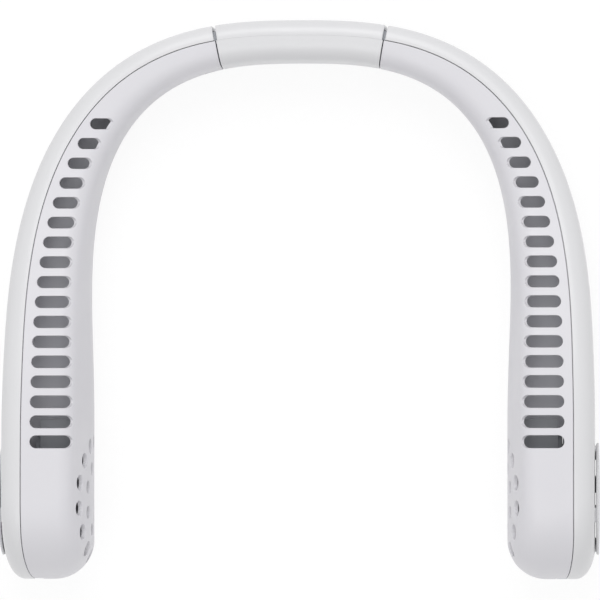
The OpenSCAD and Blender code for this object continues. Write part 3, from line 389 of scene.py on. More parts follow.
def seam_u(a):
    """Place of the seam across the pod at angle a round the tip, stepped towards the neck by an ellipse."""
    above = POD_R * (1 - np.sin(np.radians(a)))
    share = np.clip(1 - above / SEAM_RISE, 0, 1)
    return ARM_T / 2 - ARM_SEAM_IN - SEAM_STEP * (1 - np.sqrt(1 - share**2))


def corner_reach(low, edge, inset):
    """Distances from the pod's middle along a side face in equal steps, then over its corner by the sines of
    equal turns."""
    start = max(low, POD_R - edge)
    turn = np.radians(np.linspace(np.degrees(np.arcsin((start - POD_R + edge) / (edge - inset))), 90, 120))
    return np.concatenate([np.linspace(low, start, 12)[:-1], POD_R - edge + (edge - inset) * np.sin(turn)])


def tip_path(a, side_u, low, edge, end_u, inset, shares):
    """Points at given shares of the length of the path that leaves the disc at angle a round the tip, goes
    over the corner and ends on the rim at place end_u."""
    reach = corner_reach(low, edge, inset)
    pq = polar(reach, -a)
    u = np.append(side_u(pq[:, 0], pq[:, 1], inset), end_u)
    reach = np.append(reach, POD_R - inset)
    length = np.concatenate([[0], np.cumsum(np.hypot(np.diff(u), np.diff(reach)))])
    place = shares * length[-1]
    return tip_point(a, np.interp(place, length, u), np.interp(place, length, reach))


def tip_point(a, u, reach):
    """Point across the pod at u, at a distance from its axis, at angle a from the front round the tip."""
    a = np.radians(a)
    place = (BAND_HALF_W + u, POD_Y - reach * np.sin(a), POD_R + reach * np.cos(a))
    return np.stack(np.broadcast_arrays(*place), -1)


def path_shares(row):
    """Shares of the length of a row of points at which its points lie."""
    length = np.concatenate([[0], np.cumsum(np.linalg.norm(np.diff(row, axis=0), axis=1))])
    return length / length[-1]


def seam_profile(inset):
    """Steps of the last columns: distance from the seam's edge, and sinking, which rounds it outside."""
    bend = np.radians(np.linspace(0, 90, 4))
    if inset:
        return np.array([SEAM_BAND, 0.9, 0.6, 0.4, 0.2, 0.1, 0.0]), np.full(7, inset)
    return (np.concatenate([[SEAM_BAND, 0.8, 0.45], SEAM_RIM * (1 - np.sin(bend))]),
            np.concatenate([[0, 0, 0], SEAM_RIM * (1 - np.cos(bend))]))


def joined_disc(flat, low, side_u, inset):
    """The side face between the round disc and the straight rows of the arm, as rings of equal steps. Its
    outer border runs up the front of the flat's last rows, across, and down their back."""
    row = len(flat) - JOIN_ROWS
    border = np.concatenate([flat[:row:-1, 0], flat[row, :-1], flat[row:, -1]])
    start = polar(low, turn_angles)
    end = np.stack([border[:, 1] - POD_Y, border[:, 2] - POD_R], -1)
    rings = pod_point(lerp(start, end, np.linspace(0, 1, JOIN_RINGS + 1)[:, None, None]), 0.0, inset, side_u)
    rings[-1] = border
    return rings


def tip_rows(first, side_u, low, edge, end_u, inset):
    """The skin round the tip, one row for each angle, between the given first row and its mirror image at the
    back. edge(a) is the corner's height and end_u(a) the place on the rim at which the row ends."""
    shares = path_shares(first)
    rows = [tip_path(a, side_u, low, edge(a), end_u(a), inset, shares) for a in turn_angles[1:-1]]
    return np.array([first, *rows, first * (1, 1, -1) + (0, 0, 2 * POD_R)])


def neck_corner(a):
    """Radius of the neck side's corner at angle a round the tip."""
    return lerp(TIP_EDGE_R, NECK_EDGE_R, np.cos(np.radians(a)) ** 2)


# The outside and the inside of the shell, by how far they are set in: their faces and seam bands in front and
# at the back, the crowned side, the rings round the disc and the skin round the tip
inner_skins = {}
for inset in (0.0, SKIN):
    xy = face_rows(inset)
    back, drop = seam_profile(inset)
    c, n = centre_line(seam_rows)
    seam_xy = c[:, None] + n[:, None] * (seam_edge(0)(c[:, 1])[:, None] - back)[..., None]
    half = depth(c[:, 1])[:, None] / 2
    rise = half - (0 if inset else 1) * neck_sunk[:, None] - drop
    skin = {"xy": xy, "crown": crown_rows(inset)}
    for side in (1, -1):
        skin[side] = face_point(xy, 0.0, sunk_by(inset, neck_sunk)[:, None], side)
        skin[side, "seam"] = np.concatenate([seam_xy, (half + side * rise)[..., None]], -1)
    skin["join"] = joined_disc(skin["crown"], DISC_REACH, neck_side, inset)
    first = np.concatenate([skin["join"][:-1, 0], skin[1][-1]])
    skin["tip"] = tip_rows(first, neck_side, DISC_REACH, neck_corner,
                           lambda a: seam_u(a) - SEAM_GAP / 2 - SEAM_BAND, inset)
    tip_edge = seam_u(turn_angles)[:, None] - SEAM_GAP / 2
    skin["tip seam"] = tip_point(turn_angles[:, None], tip_edge - back, POD_R - drop)
    inner_skins[inset] = skin


def sheets(grids):
    """Open grids, ready for piece."""
    return [(g, False, False) for g in grids]


# The sheets of both skins leave out the cells of the slots and holes. Two strips join the skins at their
# edges: along the seam, and round the end at the joint.
CORE_REACH, MIDDLE_REACH = 8.0, 15.6
full_turn = np.linspace(0, 360, 113)[None, :-1]
plug_top, plug_low, last_slot = len(END_STEPS), len(END_STEPS) + PLUG_ROWS, first_slot + SLOTS * SLOT_ROWS
inner_grids, edge_loops = [], []
for inset, skin in inner_skins.items():
    crown, front, back = skin["crown"], skin[1], skin[-1]
    front_seam, back_seam, tip_seam = skin[1, "seam"], skin[-1, "seam"], skin["tip seam"]
    beside_plug = crown[plug_top:plug_low + 1]
    inner_grids += sheets([
        crown[:plug_top + 1], beside_plug[:, :PLUG_LEFT + 1], beside_plug[:, PLUG_RIGHT:],
        crown[plug_low:disc_row + 1], skin["join"], skin["tip"], tip_seam,
        front[:first_slot + 1], front[last_slot:], front_seam,
        back[:first_slot + 1], back[last_slot:], back_seam])
    core = polar(np.array([CORE_REACH, 5.3, 2.6, 0.0])[:, None], full_turn)
    inner_grids.append((pod_point(core, 0.0, inset, neck_side), False, True))
    edge_loops.append((
        np.concatenate([front_seam[:, -1], tip_seam[1:-1, -1], back_seam[::-1, -1]]),
        np.concatenate([front_seam[0, ::-1], front[0, -2::-1], crown[0, 1:-1], back[0], back_seam[0, 1:]])))
inner_grids += sheets([np.stack(pair) for pair in zip(*edge_loops)])

# Slots through both faces: margins at both ends, how much narrower than outside, and the line that trims them
SLOT_OUTSIDE, SLOT_INSIDE, SLOT_RIM = (5.1, 3.0, 0.0, 4.6), (5.9, 3.05, 0.1, 5.5), 0.2
slot_cells = [np.array([frame_of(skin["xy"], row, row + SLOT_ROWS, 0, FACE_COLUMNS)
                        for row in range(first_slot, last_slot, SLOT_ROWS)]) for skin in inner_skins.values()]
outline, out = slot_outlines(*SLOT_OUTSIDE)
inner_outline = slot_outlines(*SLOT_INSIDE)[0]
for side in (1, -1):
    inner_grids += hole_cells(slot_cells[0], outline, out, inner_outline,
                              lambda xy, drop, inset: face_point(xy, drop, inset, side),
                              SLOT_RIM, slot_cells[1])

# Two rings of intake holes through the pod's side: their count, distance from its middle and diameter
OUTER_HOLES, INNER_HOLES, RING_TURN = (14, 19.0, 5.0), (8, 11.0, 4.2), 5.0


def neck_disc(pq, drop, inset):
    """Points of the pod's neck side."""
    return pod_point(pq, drop, inset, neck_side)


outer_cells = ring_cells(OUTER_HOLES[0], MIDDLE_REACH, DISC_REACH, 8, shift=2)
inner_grids += round_holes(*OUTER_HOLES, outer_cells, neck_disc, RING_TURN)
inner_grids += round_holes(*INNER_HOLES, ring_cells(INNER_HOLES[0], CORE_REACH, MIDDLE_REACH, 14), neck_disc)

# Screw hole beside the hinge, which its plug covers
PLUG_HOLE_R, PLUG_HOLE_RIM = 2.05, 0.18
plug_rate = 1 / (along(plug_station, 1.0) - plug_station)


def by_plug(sq, drop, inset):
    """Points of the crowned side from their station and their distance from mid depth."""
    c, n = centre_line(sq[..., 0])
    half = depth(c[..., 1]) / 2
    u = neck_place(np.abs(sq[..., 1]), half, thickness(c[..., 1]), inset) + drop
    return np.concatenate([c + n * u[..., None], (half + sq[..., 1])[..., None]], -1)


def plug_border(inset):
    """Border of the screw hole's cell as stations and distances from mid depth."""
    c = centre_line(plug_rows)[0]
    lean = neck_profile(depth(c[:, 1]) / 2, thickness(c[:, 1]))[1]
    q = (CROWN_R - inset) * np.sin(lean[:, None] * np.linspace(1, -1, SIDE_COLUMNS + 1))
    grid = np.stack([np.broadcast_to(plug_rows[:, None], q.shape), q], -1)
    return frame_of(grid, 0, PLUG_ROWS, PLUG_LEFT, PLUG_RIGHT)[None]


middle = np.array([plug_station, 0])
out = (plug_border(0.0) - middle) * (plug_rate, 1)
out = out / np.linalg.norm(out, axis=-1, keepdims=True) / (plug_rate, 1)
hole, inner_hole = middle + out * PLUG_HOLE_R, middle + out * (PLUG_HOLE_R - HOLE_DRAFT)
inner_grids += hole_cells(plug_border(0.0), hole, out, inner_hole, by_plug, PLUG_HOLE_RIM, plug_border(SKIN))


def colour(code):
    """sRGB hex value to the linear colour that a socket takes."""
    share = np.array([int(code[i:i + 2], 16) for i in (1, 3, 5)]) / 255
    return (*np.where(share <= 0.04045, share / 12.92, ((share + 0.055) / 1.055) ** 2.4).tolist(), 1.0)


def add(owner, kind, sockets, **settings):
    """Adds one node to a material or the world, with its settings, and fills or links its sockets."""
    made = owner.node_tree.nodes.new(kind)
    for key, value in settings.items():
        setattr(made, key, value)
    for key, value in sockets.items():
        if isinstance(value, bpy.types.NodeSocket):
            owner.node_tree.links.new(value, made.inputs[key])
        else:
            made.inputs[key].default_value = value
    return made


def moulded(name, code, second, patch_mm, rough, grain_mm, grain_depth_mm, ior=1.54, patch_depth=0.05,
            **shader):
    """Moulded or sanded surface: two near colours in soft patches, roughness that drifts with them by the
    patch depth, and an even fine grain as bump. Pattern scales are one over the real size in metres."""
    material = bpy.data.materials.new(name)
    material.use_nodes = True
    material.node_tree.nodes.clear()
    place = add(material, "ShaderNodeTexCoord", {}).outputs["Object"]
    patch = add(material, "ShaderNodeTexNoise",
                {"Vector": place, "Scale": 1000 / patch_mm, "Detail": 3.0, "Roughness": 0.55})
    grain = add(material, "ShaderNodeTexNoise",
                {"Vector": place, "Scale": 1000 / grain_mm, "Detail": 2.0, "Roughness": 0.5})
    tint = add(material, "ShaderNodeMix",
               {"Factor": patch.outputs["Fac"], 6: colour(code), 7: colour(second)}, data_type="RGBA")
    drift = add(material, "ShaderNodeMapRange",
                {"Value": patch.outputs["Fac"], "From Min": 0.3, "From Max": 0.7,
                 "To Min": rough - patch_depth, "To Max": rough + patch_depth})
    bump = add(material, "ShaderNodeBump",
               {"Height": grain.outputs["Fac"], "Distance": grain_depth_mm / 1000, "Strength": 1.0})
    surface = add(material, "ShaderNodeBsdfPrincipled",
                  {"Base Color": tint.outputs[2], "Roughness": drift.outputs["Result"],
                   "Normal": bump.outputs["Normal"], "IOR": ior, **shader})
    add(material, "ShaderNodeOutputMaterial", {"Surface": surface.outputs["BSDF"]})
    return material


def carve(made, grids):
    """Cuts the closed form of some grids out of a piece, for the small openings that cross the seam."""
    cutter = piece("cutter", grids)
    made.modifiers.new("cut", "BOOLEAN").object = cutter
    shape = bpy.data.meshes.new_from_object(made.evaluated_get(bpy.context.evaluated_depsgraph_get()))
    made.modifiers.clear()
    made.data = shape
    bpy.data.objects.remove(cutter)
    shape.shade_smooth()
    shape.set_sharp_from_angle(angle=SHARP_TURN)


# Openings across the seam in the tips: for the button in the right one, for the charging socket in the left
TIP_X, TIP_CLEAR, PORT_CLEAR = 87.506, 0.25, 0.05
BUTTON_L, BUTTON_W, PORT_W, PORT_H = 9.0, 4.0, 8.94, 3.26


def pill_form(length, width, way):
    """Closed pill along Z, two half circles with straight sides, swept along Y through the tip's wall."""
    first = np.arange(32) < 16
    angle = np.radians(np.concatenate([np.linspace(0, 180, 16), np.linspace(180, 360, 16)]))
    x = way * (TIP_X + width / 2 * np.cos(angle))
    z = POD_R + width / 2 * np.sin(angle) + np.where(first, 1, -1) * (length - width) / 2
    y = TIP_Y + np.array([-1, -1, 3, 3])[:, None]
    grid = np.stack(np.broadcast_arrays(x, y, z), -1).copy()
    grid[[0, -1], :, 0], grid[[0, -1], :, 2] = way * TIP_X, POD_R
    return [(grid, False, True)]


def open_tip(shell, mirrored):
    """Cuts the tip's opening out of an arm's shell, with the clearance round what fills it."""
    if mirrored:
        carve(shell, pill_form(PORT_W + 2 * PORT_CLEAR, PORT_H + 2 * PORT_CLEAR, -1))
    else:
        carve(shell, pill_form(BUTTON_L + 2 * TIP_CLEAR, BUTTON_W + 2 * TIP_CLEAR, 1))


# Satin white ABS, moulded in a fine spark-eroded tool: an even soft light with no mirror images. Its grain of
# about 0.1 mm is too fine to show, so it is drawn at 0.35 mm.
tub_abs = moulded("white_abs_spark_eroded", "#dcdbdf", "#d8d7dc", 16, 0.42, 0.35, 0.0015)
for name, mirrored in (("right_inner_shell", False), ("left_inner_shell", True)):
    shell = piece(name + "_skin", inner_grids, mirrored)
    open_tip(shell, mirrored)
    shell.data.materials.append(tub_abs)
    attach(shell, name.split("_")[0] + "_arm")
    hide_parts(name)

# Arm outer shells
# The tray that closes each arm away from the neck: white ABS, with a wide soft edge on both sides, a
# rounder corner at the tip and a round recess with air vents under the cover disc.

# The wall, the long edges' radius, the reach of the disc's rings, the flat by the seam and the tip's corner
WALL, OUT_R, OUT_REACH, SEAM_FLAT = 1.6, 6.0, 19.4, 0.45
CORNER_W, CORNER_H = 6.5, 11.0
outer_end = along(JOINT_STATION, -TRAY_END_GAP)
straight = along(outer_end, -1.0)
outer_rows = np.concatenate([along(outer_end, -END_STEPS), [straight],
                             np.linspace(straight, seam_rows[first_slot], 45)[1:-1], seam_rows[first_slot:]])
outer_sunk = np.concatenate([END_SUNK, np.zeros(len(outer_rows) - len(END_SUNK))])


def out_radius(y):
    """Radius of the tray's long edges, which leaves a narrow flat beside the seam."""
    return np.minimum(OUT_R, seam_in(y) - SEAM_FLAT)


def tip_corner(p, q):
    """Width across the band and height along the rim of the tray's corner round the tip."""
    front_share = np.clip(q**2 / np.maximum(p**2 + q**2, 1e-9), 0, 1)
    return lerp(CORNER_W, OUT_R, front_share), lerp(CORNER_H, OUT_R, front_share)


def out_side(p, q, inset):
    """Place across the band of the pod's outer side: flat, then a circle at the long edges, or below the
    pod's middle a quarter ellipse round the rim."""
    half = depth(POD_Y + p) / 2
    width, height = tip_corner(p, q)
    start = np.where(p >= 0, half - OUT_R, POD_R - height)
    width, height = np.where(p >= 0, OUT_R, width), np.where(p >= 0, OUT_R, height)
    far = np.where(p >= 0, np.abs(POD_R + q - half), np.hypot(p, q))
    share = np.clip((far - start) / (height - inset), 0, 1)
    return ARM_T / 2 - width + (width - inset) * np.sqrt(1 - share**2)


def band_points(rows, u, z):
    """Points from stations, places across the band and heights from mid depth."""
    c, n = centre_line(rows)
    half = np.broadcast_to(depth(c[:, 1])[:, None] / 2, u.shape)
    return np.concatenate([c[:, None] + n[:, None] * u[..., None], (half + z)[..., None]], -1)


def tray_side(rows, sunk, inset, side, gap=SEAM_GAP, rim=SEAM_RIM):
    """Half a tray's section on each row: round the long edge, along the flat and down the seam's edge."""
    y = centre_line(rows)[0][:, 1:]
    t, half, r, s = thickness(y), depth(y) / 2, out_radius(y), sunk[:, None]
    turn = np.radians(np.linspace(0, 90, 13))
    bend = np.radians(np.linspace(0, 90, 4))
    flat = seam_in(y) - gap / 2 - r
    if inset:
        back, drop = flat * np.array([0.8, 0.6, 0.45, 0.3, 0.15, 0.0]), 0.0
    else:
        level = lerp(flat, rim, np.array([0.33, 0.66]))
        back = np.concatenate([level, 0 * flat + rim * (1 - np.sin(bend))], 1)
        drop = np.concatenate([[0, 0], rim * (1 - np.cos(bend))])
    u = np.concatenate([t / 2 - r + (r - s) * np.cos(turn), t / 2 - seam_in(y) + gap / 2 + back], 1)
    z = np.concatenate([half - r + (r - s) * np.sin(turn), half - s - drop + 0 * back], 1)
    return band_points(rows, u, side * z)


def tray_back(rows, sunk):
    """The flat outer face on each row, from its front edge to its back edge."""
    y = centre_line(rows)[0][:, 1:]
    z = (depth(y) / 2 - out_radius(y)) * np.linspace(1, -1, SIDE_COLUMNS + 1)
    return band_points(rows, thickness(y) / 2 - sunk[:, None] + 0 * z, z)


def tray_corner(a):
    """Height of the tray's corner at angle a round the tip."""
    return tip_corner(np.sin(np.radians(a)), np.cos(np.radians(a)))[1]


outer_grids, edge_loops = [], []
for inset in (0.0, WALL):
    sunk = sunk_by(inset, outer_sunk)
    flat = tray_back(outer_rows, sunk)
    front, back = (tray_side(outer_rows, sunk, inset, side) for side in (1, -1))
    join = joined_disc(flat, OUT_REACH, out_side, inset)
    # The thirteenth point of a side is where the edge's rounding ends and the flat beside the seam starts
    corner, beside = np.concatenate([join[:-1, 0], front[-1, :13]]), front[-1, 12:]
    tip = tip_rows(corner, out_side, OUT_REACH, tray_corner,
                   lambda a: seam_u(a) + seam_in(POD_Y) - OUT_R, inset)
    tip_edge = seam_u(turn_angles)[:, None] - BAND_HALF_W - seam_u(0)
    tip_seam = tip_point(turn_angles[:, None], tip_edge + beside[:, 0], beside[:, 2] - POD_R)
    outer_grids += sheets([flat[:len(flat) - JOIN_ROWS + 1], front, back, join, tip, tip_seam])
    edge_loops.append((np.concatenate([front[:, -1], tip_seam[1:-1, -1], back[::-1, -1]]),
                       np.concatenate([front[0, ::-1], flat[0, 1:-1], back[0]])))
outer_grids += sheets([np.stack(pair) for pair in zip(*edge_loops)])

# Lip behind the seam, which keeps light out of the joint: a flat band inside both walls, once round
LIP_LOW, LIP_HIGH, LIP_TOP, LIP_BOTTOM = -1.3, 1.0, 1.65, 2.2
lip_across = np.array([LIP_LOW, LIP_HIGH, LIP_HIGH, LIP_LOW])
lip_deep = np.array([LIP_TOP, LIP_TOP, LIP_BOTTOM, LIP_BOTTOM])
y = centre_line(outer_rows)[0][:, 1:]
lip_u, lip_z = thickness(y) / 2 - seam_in(y) + lip_across, depth(y) / 2 - lip_deep
tip_angles = turn_angles[1:-1, None]
lip = np.concatenate([band_points(outer_rows, lip_u, lip_z),
                      tip_point(tip_angles, seam_u(tip_angles) + lip_across, POD_R - lip_deep),
                      band_points(outer_rows, lip_u, -lip_z)[::-1]])
lip_ends = [np.repeat(lip[k].mean(0)[None, None], 4, 1) for k in (0, -1)]
outer_grids.append((np.concatenate([lip_ends[0], lip, lip_ends[1]]), False, True))

# Recess under the disc, its rim rounded, and the vents in its floor: their count, the distances from the
# middle at which their round ends are centred, and the ring of cells that they lie in
RECESS_REACH, RECESS_DEEP, RECESS_RIM, PAD_REACH = 17.5, 1.2, 0.3, 19.1
VENTS, VENT_R, VENT_DRAFT, VENT_RIM = 16, 1.0, 0.02, 0.1
VENT_IN, VENT_OUT, VENT_CELL_IN, VENT_CELL_OUT = 6.0, 12.5, 4.4, 14.6
bend = np.radians(np.linspace(0, 90, 5))
rim_reach = np.concatenate([[OUT_REACH, 18.6], RECESS_REACH + RECESS_RIM * (1 - np.sin(bend))])[:, None]
rim_drop = np.concatenate([[0, 0], RECESS_RIM * (1 - np.cos(bend))])[:, None]


def recess_floor(pq, drop, inset):
    """Points of the recess's floor, or with an inset of its far side."""
    level = np.broadcast_to(BAND_HALF_W + ARM_T / 2 - RECESS_DEEP - inset - drop, pq.shape[:-1])
    return np.stack([level, POD_Y + pq[..., 0], POD_R + pq[..., 1]], -1)


def floor_rings(reaches, inset):
    """Rings of the recess's floor at distances from the middle."""
    return recess_floor(polar(np.array(reaches)[:, None], full_turn), 0.0, inset)


rims = [pod_point(polar(rim_reach, full_turn), rim_drop, 0.0, out_side, -1),
        pod_point(polar(np.array([OUT_REACH, PAD_REACH])[:, None], full_turn), 0.0, WALL, out_side)]
for inset, side_rim, foot in ((0.0, rims[0], RECESS_REACH), (WALL, rims[1], PAD_REACH)):
    outer_floor = floor_rings(np.linspace(foot, VENT_CELL_OUT, 3), inset)
    outer_grids.append((np.concatenate([side_rim, outer_floor]), False, True))
    outer_grids.append((floor_rings([VENT_CELL_IN, 3.0, 1.5, 0.0], inset), False, True))


def vent_outline(radius):
    """Outlines of the vents, pills that point to the middle, in the order of their cells' borders: 7 steps
    round each end and 14 along each side."""
    bend, straight = np.radians(np.linspace(0, 180, 8)[:-1]), np.ones(14)
    lateral = np.concatenate([-np.cos(bend), straight, np.cos(bend), -straight])
    radial = np.concatenate([-np.sin(bend), 0 * straight, np.sin(bend), 0 * straight])
    outwards = np.linspace(VENT_IN, VENT_OUT, 15)
    place = np.concatenate([np.full(7, VENT_IN), outwards[:-1], np.full(7, VENT_OUT), outwards[:0:-1]])
    a = np.radians(360 * (np.arange(VENTS) + 0.5) / VENTS)[:, None, None]
    along_r = np.concatenate([np.sin(a), np.cos(a)], -1)
    across_r = np.concatenate([np.cos(a), -np.sin(a)], -1)
    out = along_r * radial[:, None] + across_r * lateral[:, None]
    return along_r * place[:, None] + out * radius, out


vent, out = vent_outline(VENT_R)
vent_cells = ring_cells(VENTS, VENT_CELL_IN, VENT_CELL_OUT, 7, 14)
outer_grids += hole_cells(vent_cells, vent, out, vent_outline(VENT_R - VENT_DRAFT)[0],
                          recess_floor, VENT_RIM, wall=WALL)

# The same ABS from another tool, with a little more shine; its colour is painted a little brighter, as
# painted light for the trays catching the light on their wide edges.
tray_abs = moulded("white_abs_satin_painted_light", "#dedee0", "#dbdbdd", 18, 0.33, 0.35, 0.0010, patch_depth=0.03)
for name, mirrored in (("right_outer_shell", False), ("left_outer_shell", True)):
    shell = piece(name + "_skin", outer_grids, mirrored)
    open_tip(shell, mirrored)
    shell.data.materials.append(tray_abs)
    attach(shell, name.split("_")[0] + "_arm")
    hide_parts(name)

# Bridge shells
# The thin arched band behind the neck: an outer tray and a crowned inner half in the same white ABS,
# pressed together so closely that their seam hardly shows, with rounded ends at both joints.
BRIDGE_GAP, BRIDGE_RIM = 0.02, 0.04


def bridge_rows(end_gap):
    """Stations of the right half of the bridge from its end near the joint to its middle, at equal steps of
    X, and how far each section is set in to round the end."""
    start = along(JOINT_STATION, end_gap)
    x = np.linspace(centre_line(along(start, 0.6))[0][0], 0.5, 40)
    level = station_where(lambda s: x - centre_line(s)[0][..., 0], x.shape)
    return np.concatenate([along(start, END_STEPS), level]), np.concatenate([END_SUNK, 0 * x])


def both_halves(grid):
    """A grid of the right half continued by its mirror image."""
    return np.concatenate([grid, grid[::-1] * (-1, 1, 1)])


def shell_between(outside, inside):
    """Grids of a closed shell from its two skins of equal size and the strips round their edges."""
    return sheets([outside, inside, np.stack([outside[0], inside[0]]), np.stack([outside[-1], inside[-1]]),
                   np.stack([outside[:, 0], inside[:, 0]]), np.stack([outside[:, -1], inside[:, -1]])])


def neck_half(rows, sunk):
    """Section of a neck side half on each row: flat to the front edge, round it, over the crown and back."""
    y = centre_line(rows)[0][:, 1:]
    t, half, r, big = thickness(y), depth(y) / 2, NECK_EDGE_R - sunk[:, None], CROWN_R - sunk[:, None]
    u_c, lean = neck_profile(half, t)
    turn = np.radians(lerp(90, 180 - np.degrees(lean), np.linspace(0, 1, 13)))
    crown = lean * np.linspace(1, -1, SIDE_COLUMNS + 1)[1:-1]
    flat_u = lerp(t / 2 - seam_in(y) - BRIDGE_GAP / 2, u_c, np.linspace(0, 1, 4)[:-1])
    front_u = np.concatenate([flat_u, u_c + r * np.cos(turn)], 1)
    front_z = np.concatenate([half - sunk[:, None] + 0 * flat_u, half - NECK_EDGE_R + r * np.sin(turn)], 1)
    u = np.concatenate([front_u, CROWN_R - t / 2 - big * np.cos(crown), front_u[:, ::-1]], 1)
    z = np.concatenate([front_z, big * np.sin(crown), -front_z[:, ::-1]], 1)
    return band_points(rows, u, z)


def tray_half(rows, sunk, inset):
    """The tray's whole section on each row, from one seam edge to the other."""
    front, back = (tray_side(rows, sunk, inset, side, BRIDGE_GAP, BRIDGE_RIM) for side in (1, -1))
    return np.concatenate([front[:, ::-1], tray_back(rows, sunk)[:, 1:-1], back], 1)


# The same satin ABS, a soft shine; its colour is painted shade, set between those of the arms' two shells for
# how the light falls on the bridge.
bridge_abs = moulded("white_abs_bridge_painted_shade", "#dddddf", "#dadadc", 18, 0.33, 0.35, 0.0010, patch_depth=0.03)
rows, ends = bridge_rows(TRAY_END_GAP)
skins = [both_halves(tray_half(rows, sunk_by(inset, ends), inset)) for inset in (0.0, WALL)]
bridge_tray = piece("bridge_outer_shell_skin", shell_between(*skins))
rows, ends = bridge_rows(NECK_END_GAP)
skins = [both_halves(neck_half(rows, sunk_by(inset, ends))) for inset in (0.0, WALL)]
bridge_neck = piece("bridge_inner_shell_skin", shell_between(*skins))
for shell, node, slot in ((bridge_tray, "bridge_outer_shell", "shell_white"),
                          (bridge_neck, "bridge_inner_shell", "tub_white")):
    shell.data.materials.append(bridge_abs)
    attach(shell, "bridge")
    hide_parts(node)


def dress(material, *names):
    """Gives CAD nodes their material."""
    for name in names:
        for slot in nodes[name].material_slots:
            slot.material = material


# Sleeve, frame and hinges
# Inside the bridge a stiff frame carries the outer knuckles of both hinges. A soft sleeve over it closes
# the joints, and each arm's bracket turns on a steel pin between the knuckles.

# Thermoplastic rubber, moulded matt: light grey, no shine at all.
dress(moulded("soft_grey_tpe", "#b9bcc1", "#b1b4b9", 9, 0.72, 0.3, 0.004, 1.5), "bridge_sleeve")
# Glass-filled nylon: grey, with the faint cloudy streaks of its fibres.
nylon = moulded("grey_glass_filled_nylon", "#8b8e95", "#7f8289", 4, 0.55, 0.4, 0.004, 1.53)
dress(nylon, "bridge_frame", "left_hinge_bracket", "right_hinge_bracket")
# Turned bright steel: a tight, slightly drawn out shine.
steel = moulded("bright_turned_steel", "#c3c6ca", "#b6b9bd", 1.2, 0.3, 0.15, 0.002, 1.5, Metallic=1.0)
dress(steel, "left_hinge_pin", "right_hinge_pin", "bridge_screws",
      "left_case_screws", "right_case_screws", "left_shaft", "right_shaft")

# Screw plugs
# Small round plugs of grey plastic that cover the case screws beside the joints, pressed flush into
# the neck side of each arm, with a softly rounded rim.
PLUG_R, PLUG_DEEP, PLUG_EDGE_R, PLUG_LIFT = 2.0, 0.85, 0.25, 0.05


def revolve(profile, origin, axis, first, count):
    """Grid of a profile of (distance from the axis, height along it) pairs, turned round at equal steps."""
    axis, first = np.array(axis, float), np.array(first, float)
    second = np.cross(axis, first)
    turn = np.linspace(0, 2 * np.pi, count + 1)[:-1][None, :, None]
    r, h = np.array(profile, float).T[..., None, None]
    return np.array(origin) + axis * h + r * (first * np.cos(turn) + second * np.sin(turn))


def rounded(reach, height, radius):
    """Profile of a round plate from its lower middle over a rounded upper rim to its upper middle."""
    turn = np.radians(np.linspace(0, 90, 6))
    rim = np.stack([reach - radius + radius * np.cos(turn), height - radius + radius * np.sin(turn)], -1)
    top = np.stack([np.linspace(reach - radius, 0, 7)[1:], np.full(6, height)], -1)
    return np.concatenate([[(0, 0), (reach, 0)], rim, top])


# Grey ABS, moulded matt: an even shade, darker than the shells.
plug_grey = moulded("grey_abs_plug", "#a9acb1", "#a2a5aa", 3, 0.45, 0.3, 0.002)
plug_across = PLUG_ACROSS - joint_t + PLUG_LIFT + PLUG_DEEP
plug_base = np.array([*(PIN + PLUG_ALONG * joint_x + plug_across * joint_y), depth(PIN[1]) / 2])
for side, mirrored in (("right", False), ("left", True)):
    grid = revolve(rounded(PLUG_R, PLUG_DEEP, PLUG_EDGE_R), plug_base, [*-joint_y, 0], [0, 0, 1], 48)
    plug = piece(side + "_screw_plug_cap", [(grid, False, True)], mirrored)
    plug.data.materials.append(plug_grey)
    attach(plug, side + "_arm")
    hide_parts(side + "_screw_plug")

# Intake discs
# A thin round cover of white ABS floats over each pod's recess on four pegs, so that air is drawn in
# round its edge. It is slightly domed and its rim is fully rounded.

# The gap is that between the disc and the pod's side. The pegs are turned on from the pod's axes and reach
# into the disc's underside.
DISC_R, DISC_T, DISC_GAP, DISC_DOME, DISC_FLAT = 18.75, 1.4, 0.45, 0.467, 9
PEG_TURN, PEG_W, PEG_IN, PEG_OUT, PEG_SUNK = 16, 5.3, 14.2, 18.1, 0.3
disc_x = BAND_HALF_W + ARM_T / 2 + DISC_GAP
rim = DISC_T / 2
low_turn, high_turn = np.radians(np.linspace(-90, 0, 9)), np.radians(np.linspace(0, 90, 9)[1:])
fall = np.linspace(1, 0, 12)[1:]
disc_profile = np.concatenate([
    [[0, 0], [DISC_FLAT, 0]],
    np.stack([DISC_R - rim + rim * np.cos(low_turn), rim * (1 + np.sin(low_turn))], -1),
    np.stack([DISC_R - rim * (1 - np.cos(high_turn)), rim + (rim - DISC_DOME) * np.sin(high_turn)], -1),
    np.stack([(DISC_R - rim) * fall, DISC_T - DISC_DOME * fall**2], -1)])


def peg_form(angle):
    """Closed block with rounded corners between the pod and the disc, into which it reaches a little: a
    superellipse of power 6 swept across the gap."""
    turn = np.linspace(0, 2 * np.pi, 41)[:-1]
    c, s = np.cos(turn), np.sin(turn)
    out = (PEG_IN + PEG_OUT) / 2 + (PEG_OUT - PEG_IN) / 2 * np.sign(c) * np.abs(c) ** (1 / 3)
    side = PEG_W / 2 * np.sign(s) * np.abs(s) ** (1 / 3)
    a = np.radians(angle)
    ring = np.stack([out * np.sin(a) + side * np.cos(a), out * np.cos(a) - side * np.sin(a)], -1)
    x = BAND_HALF_W + ARM_T / 2 + (DISC_GAP + PEG_SUNK) * np.array([0, 0, 1, 1])[:, None]
    grid = np.stack(np.broadcast_arrays(x, POD_Y + ring[:, 0], POD_R + ring[:, 1]), -1).copy()
    grid[[0, -1], :, 1:] = grid[[0, -1], :, 1:].mean(1, keepdims=True)
    return grid, False, True


disc_grids = [(revolve(disc_profile, [disc_x, POD_Y, POD_R], [1, 0, 0], [0, 1, 0], 128), False, True)]
disc_grids += [peg_form(90 - PEG_TURN - 90 * k) for k in range(4)]
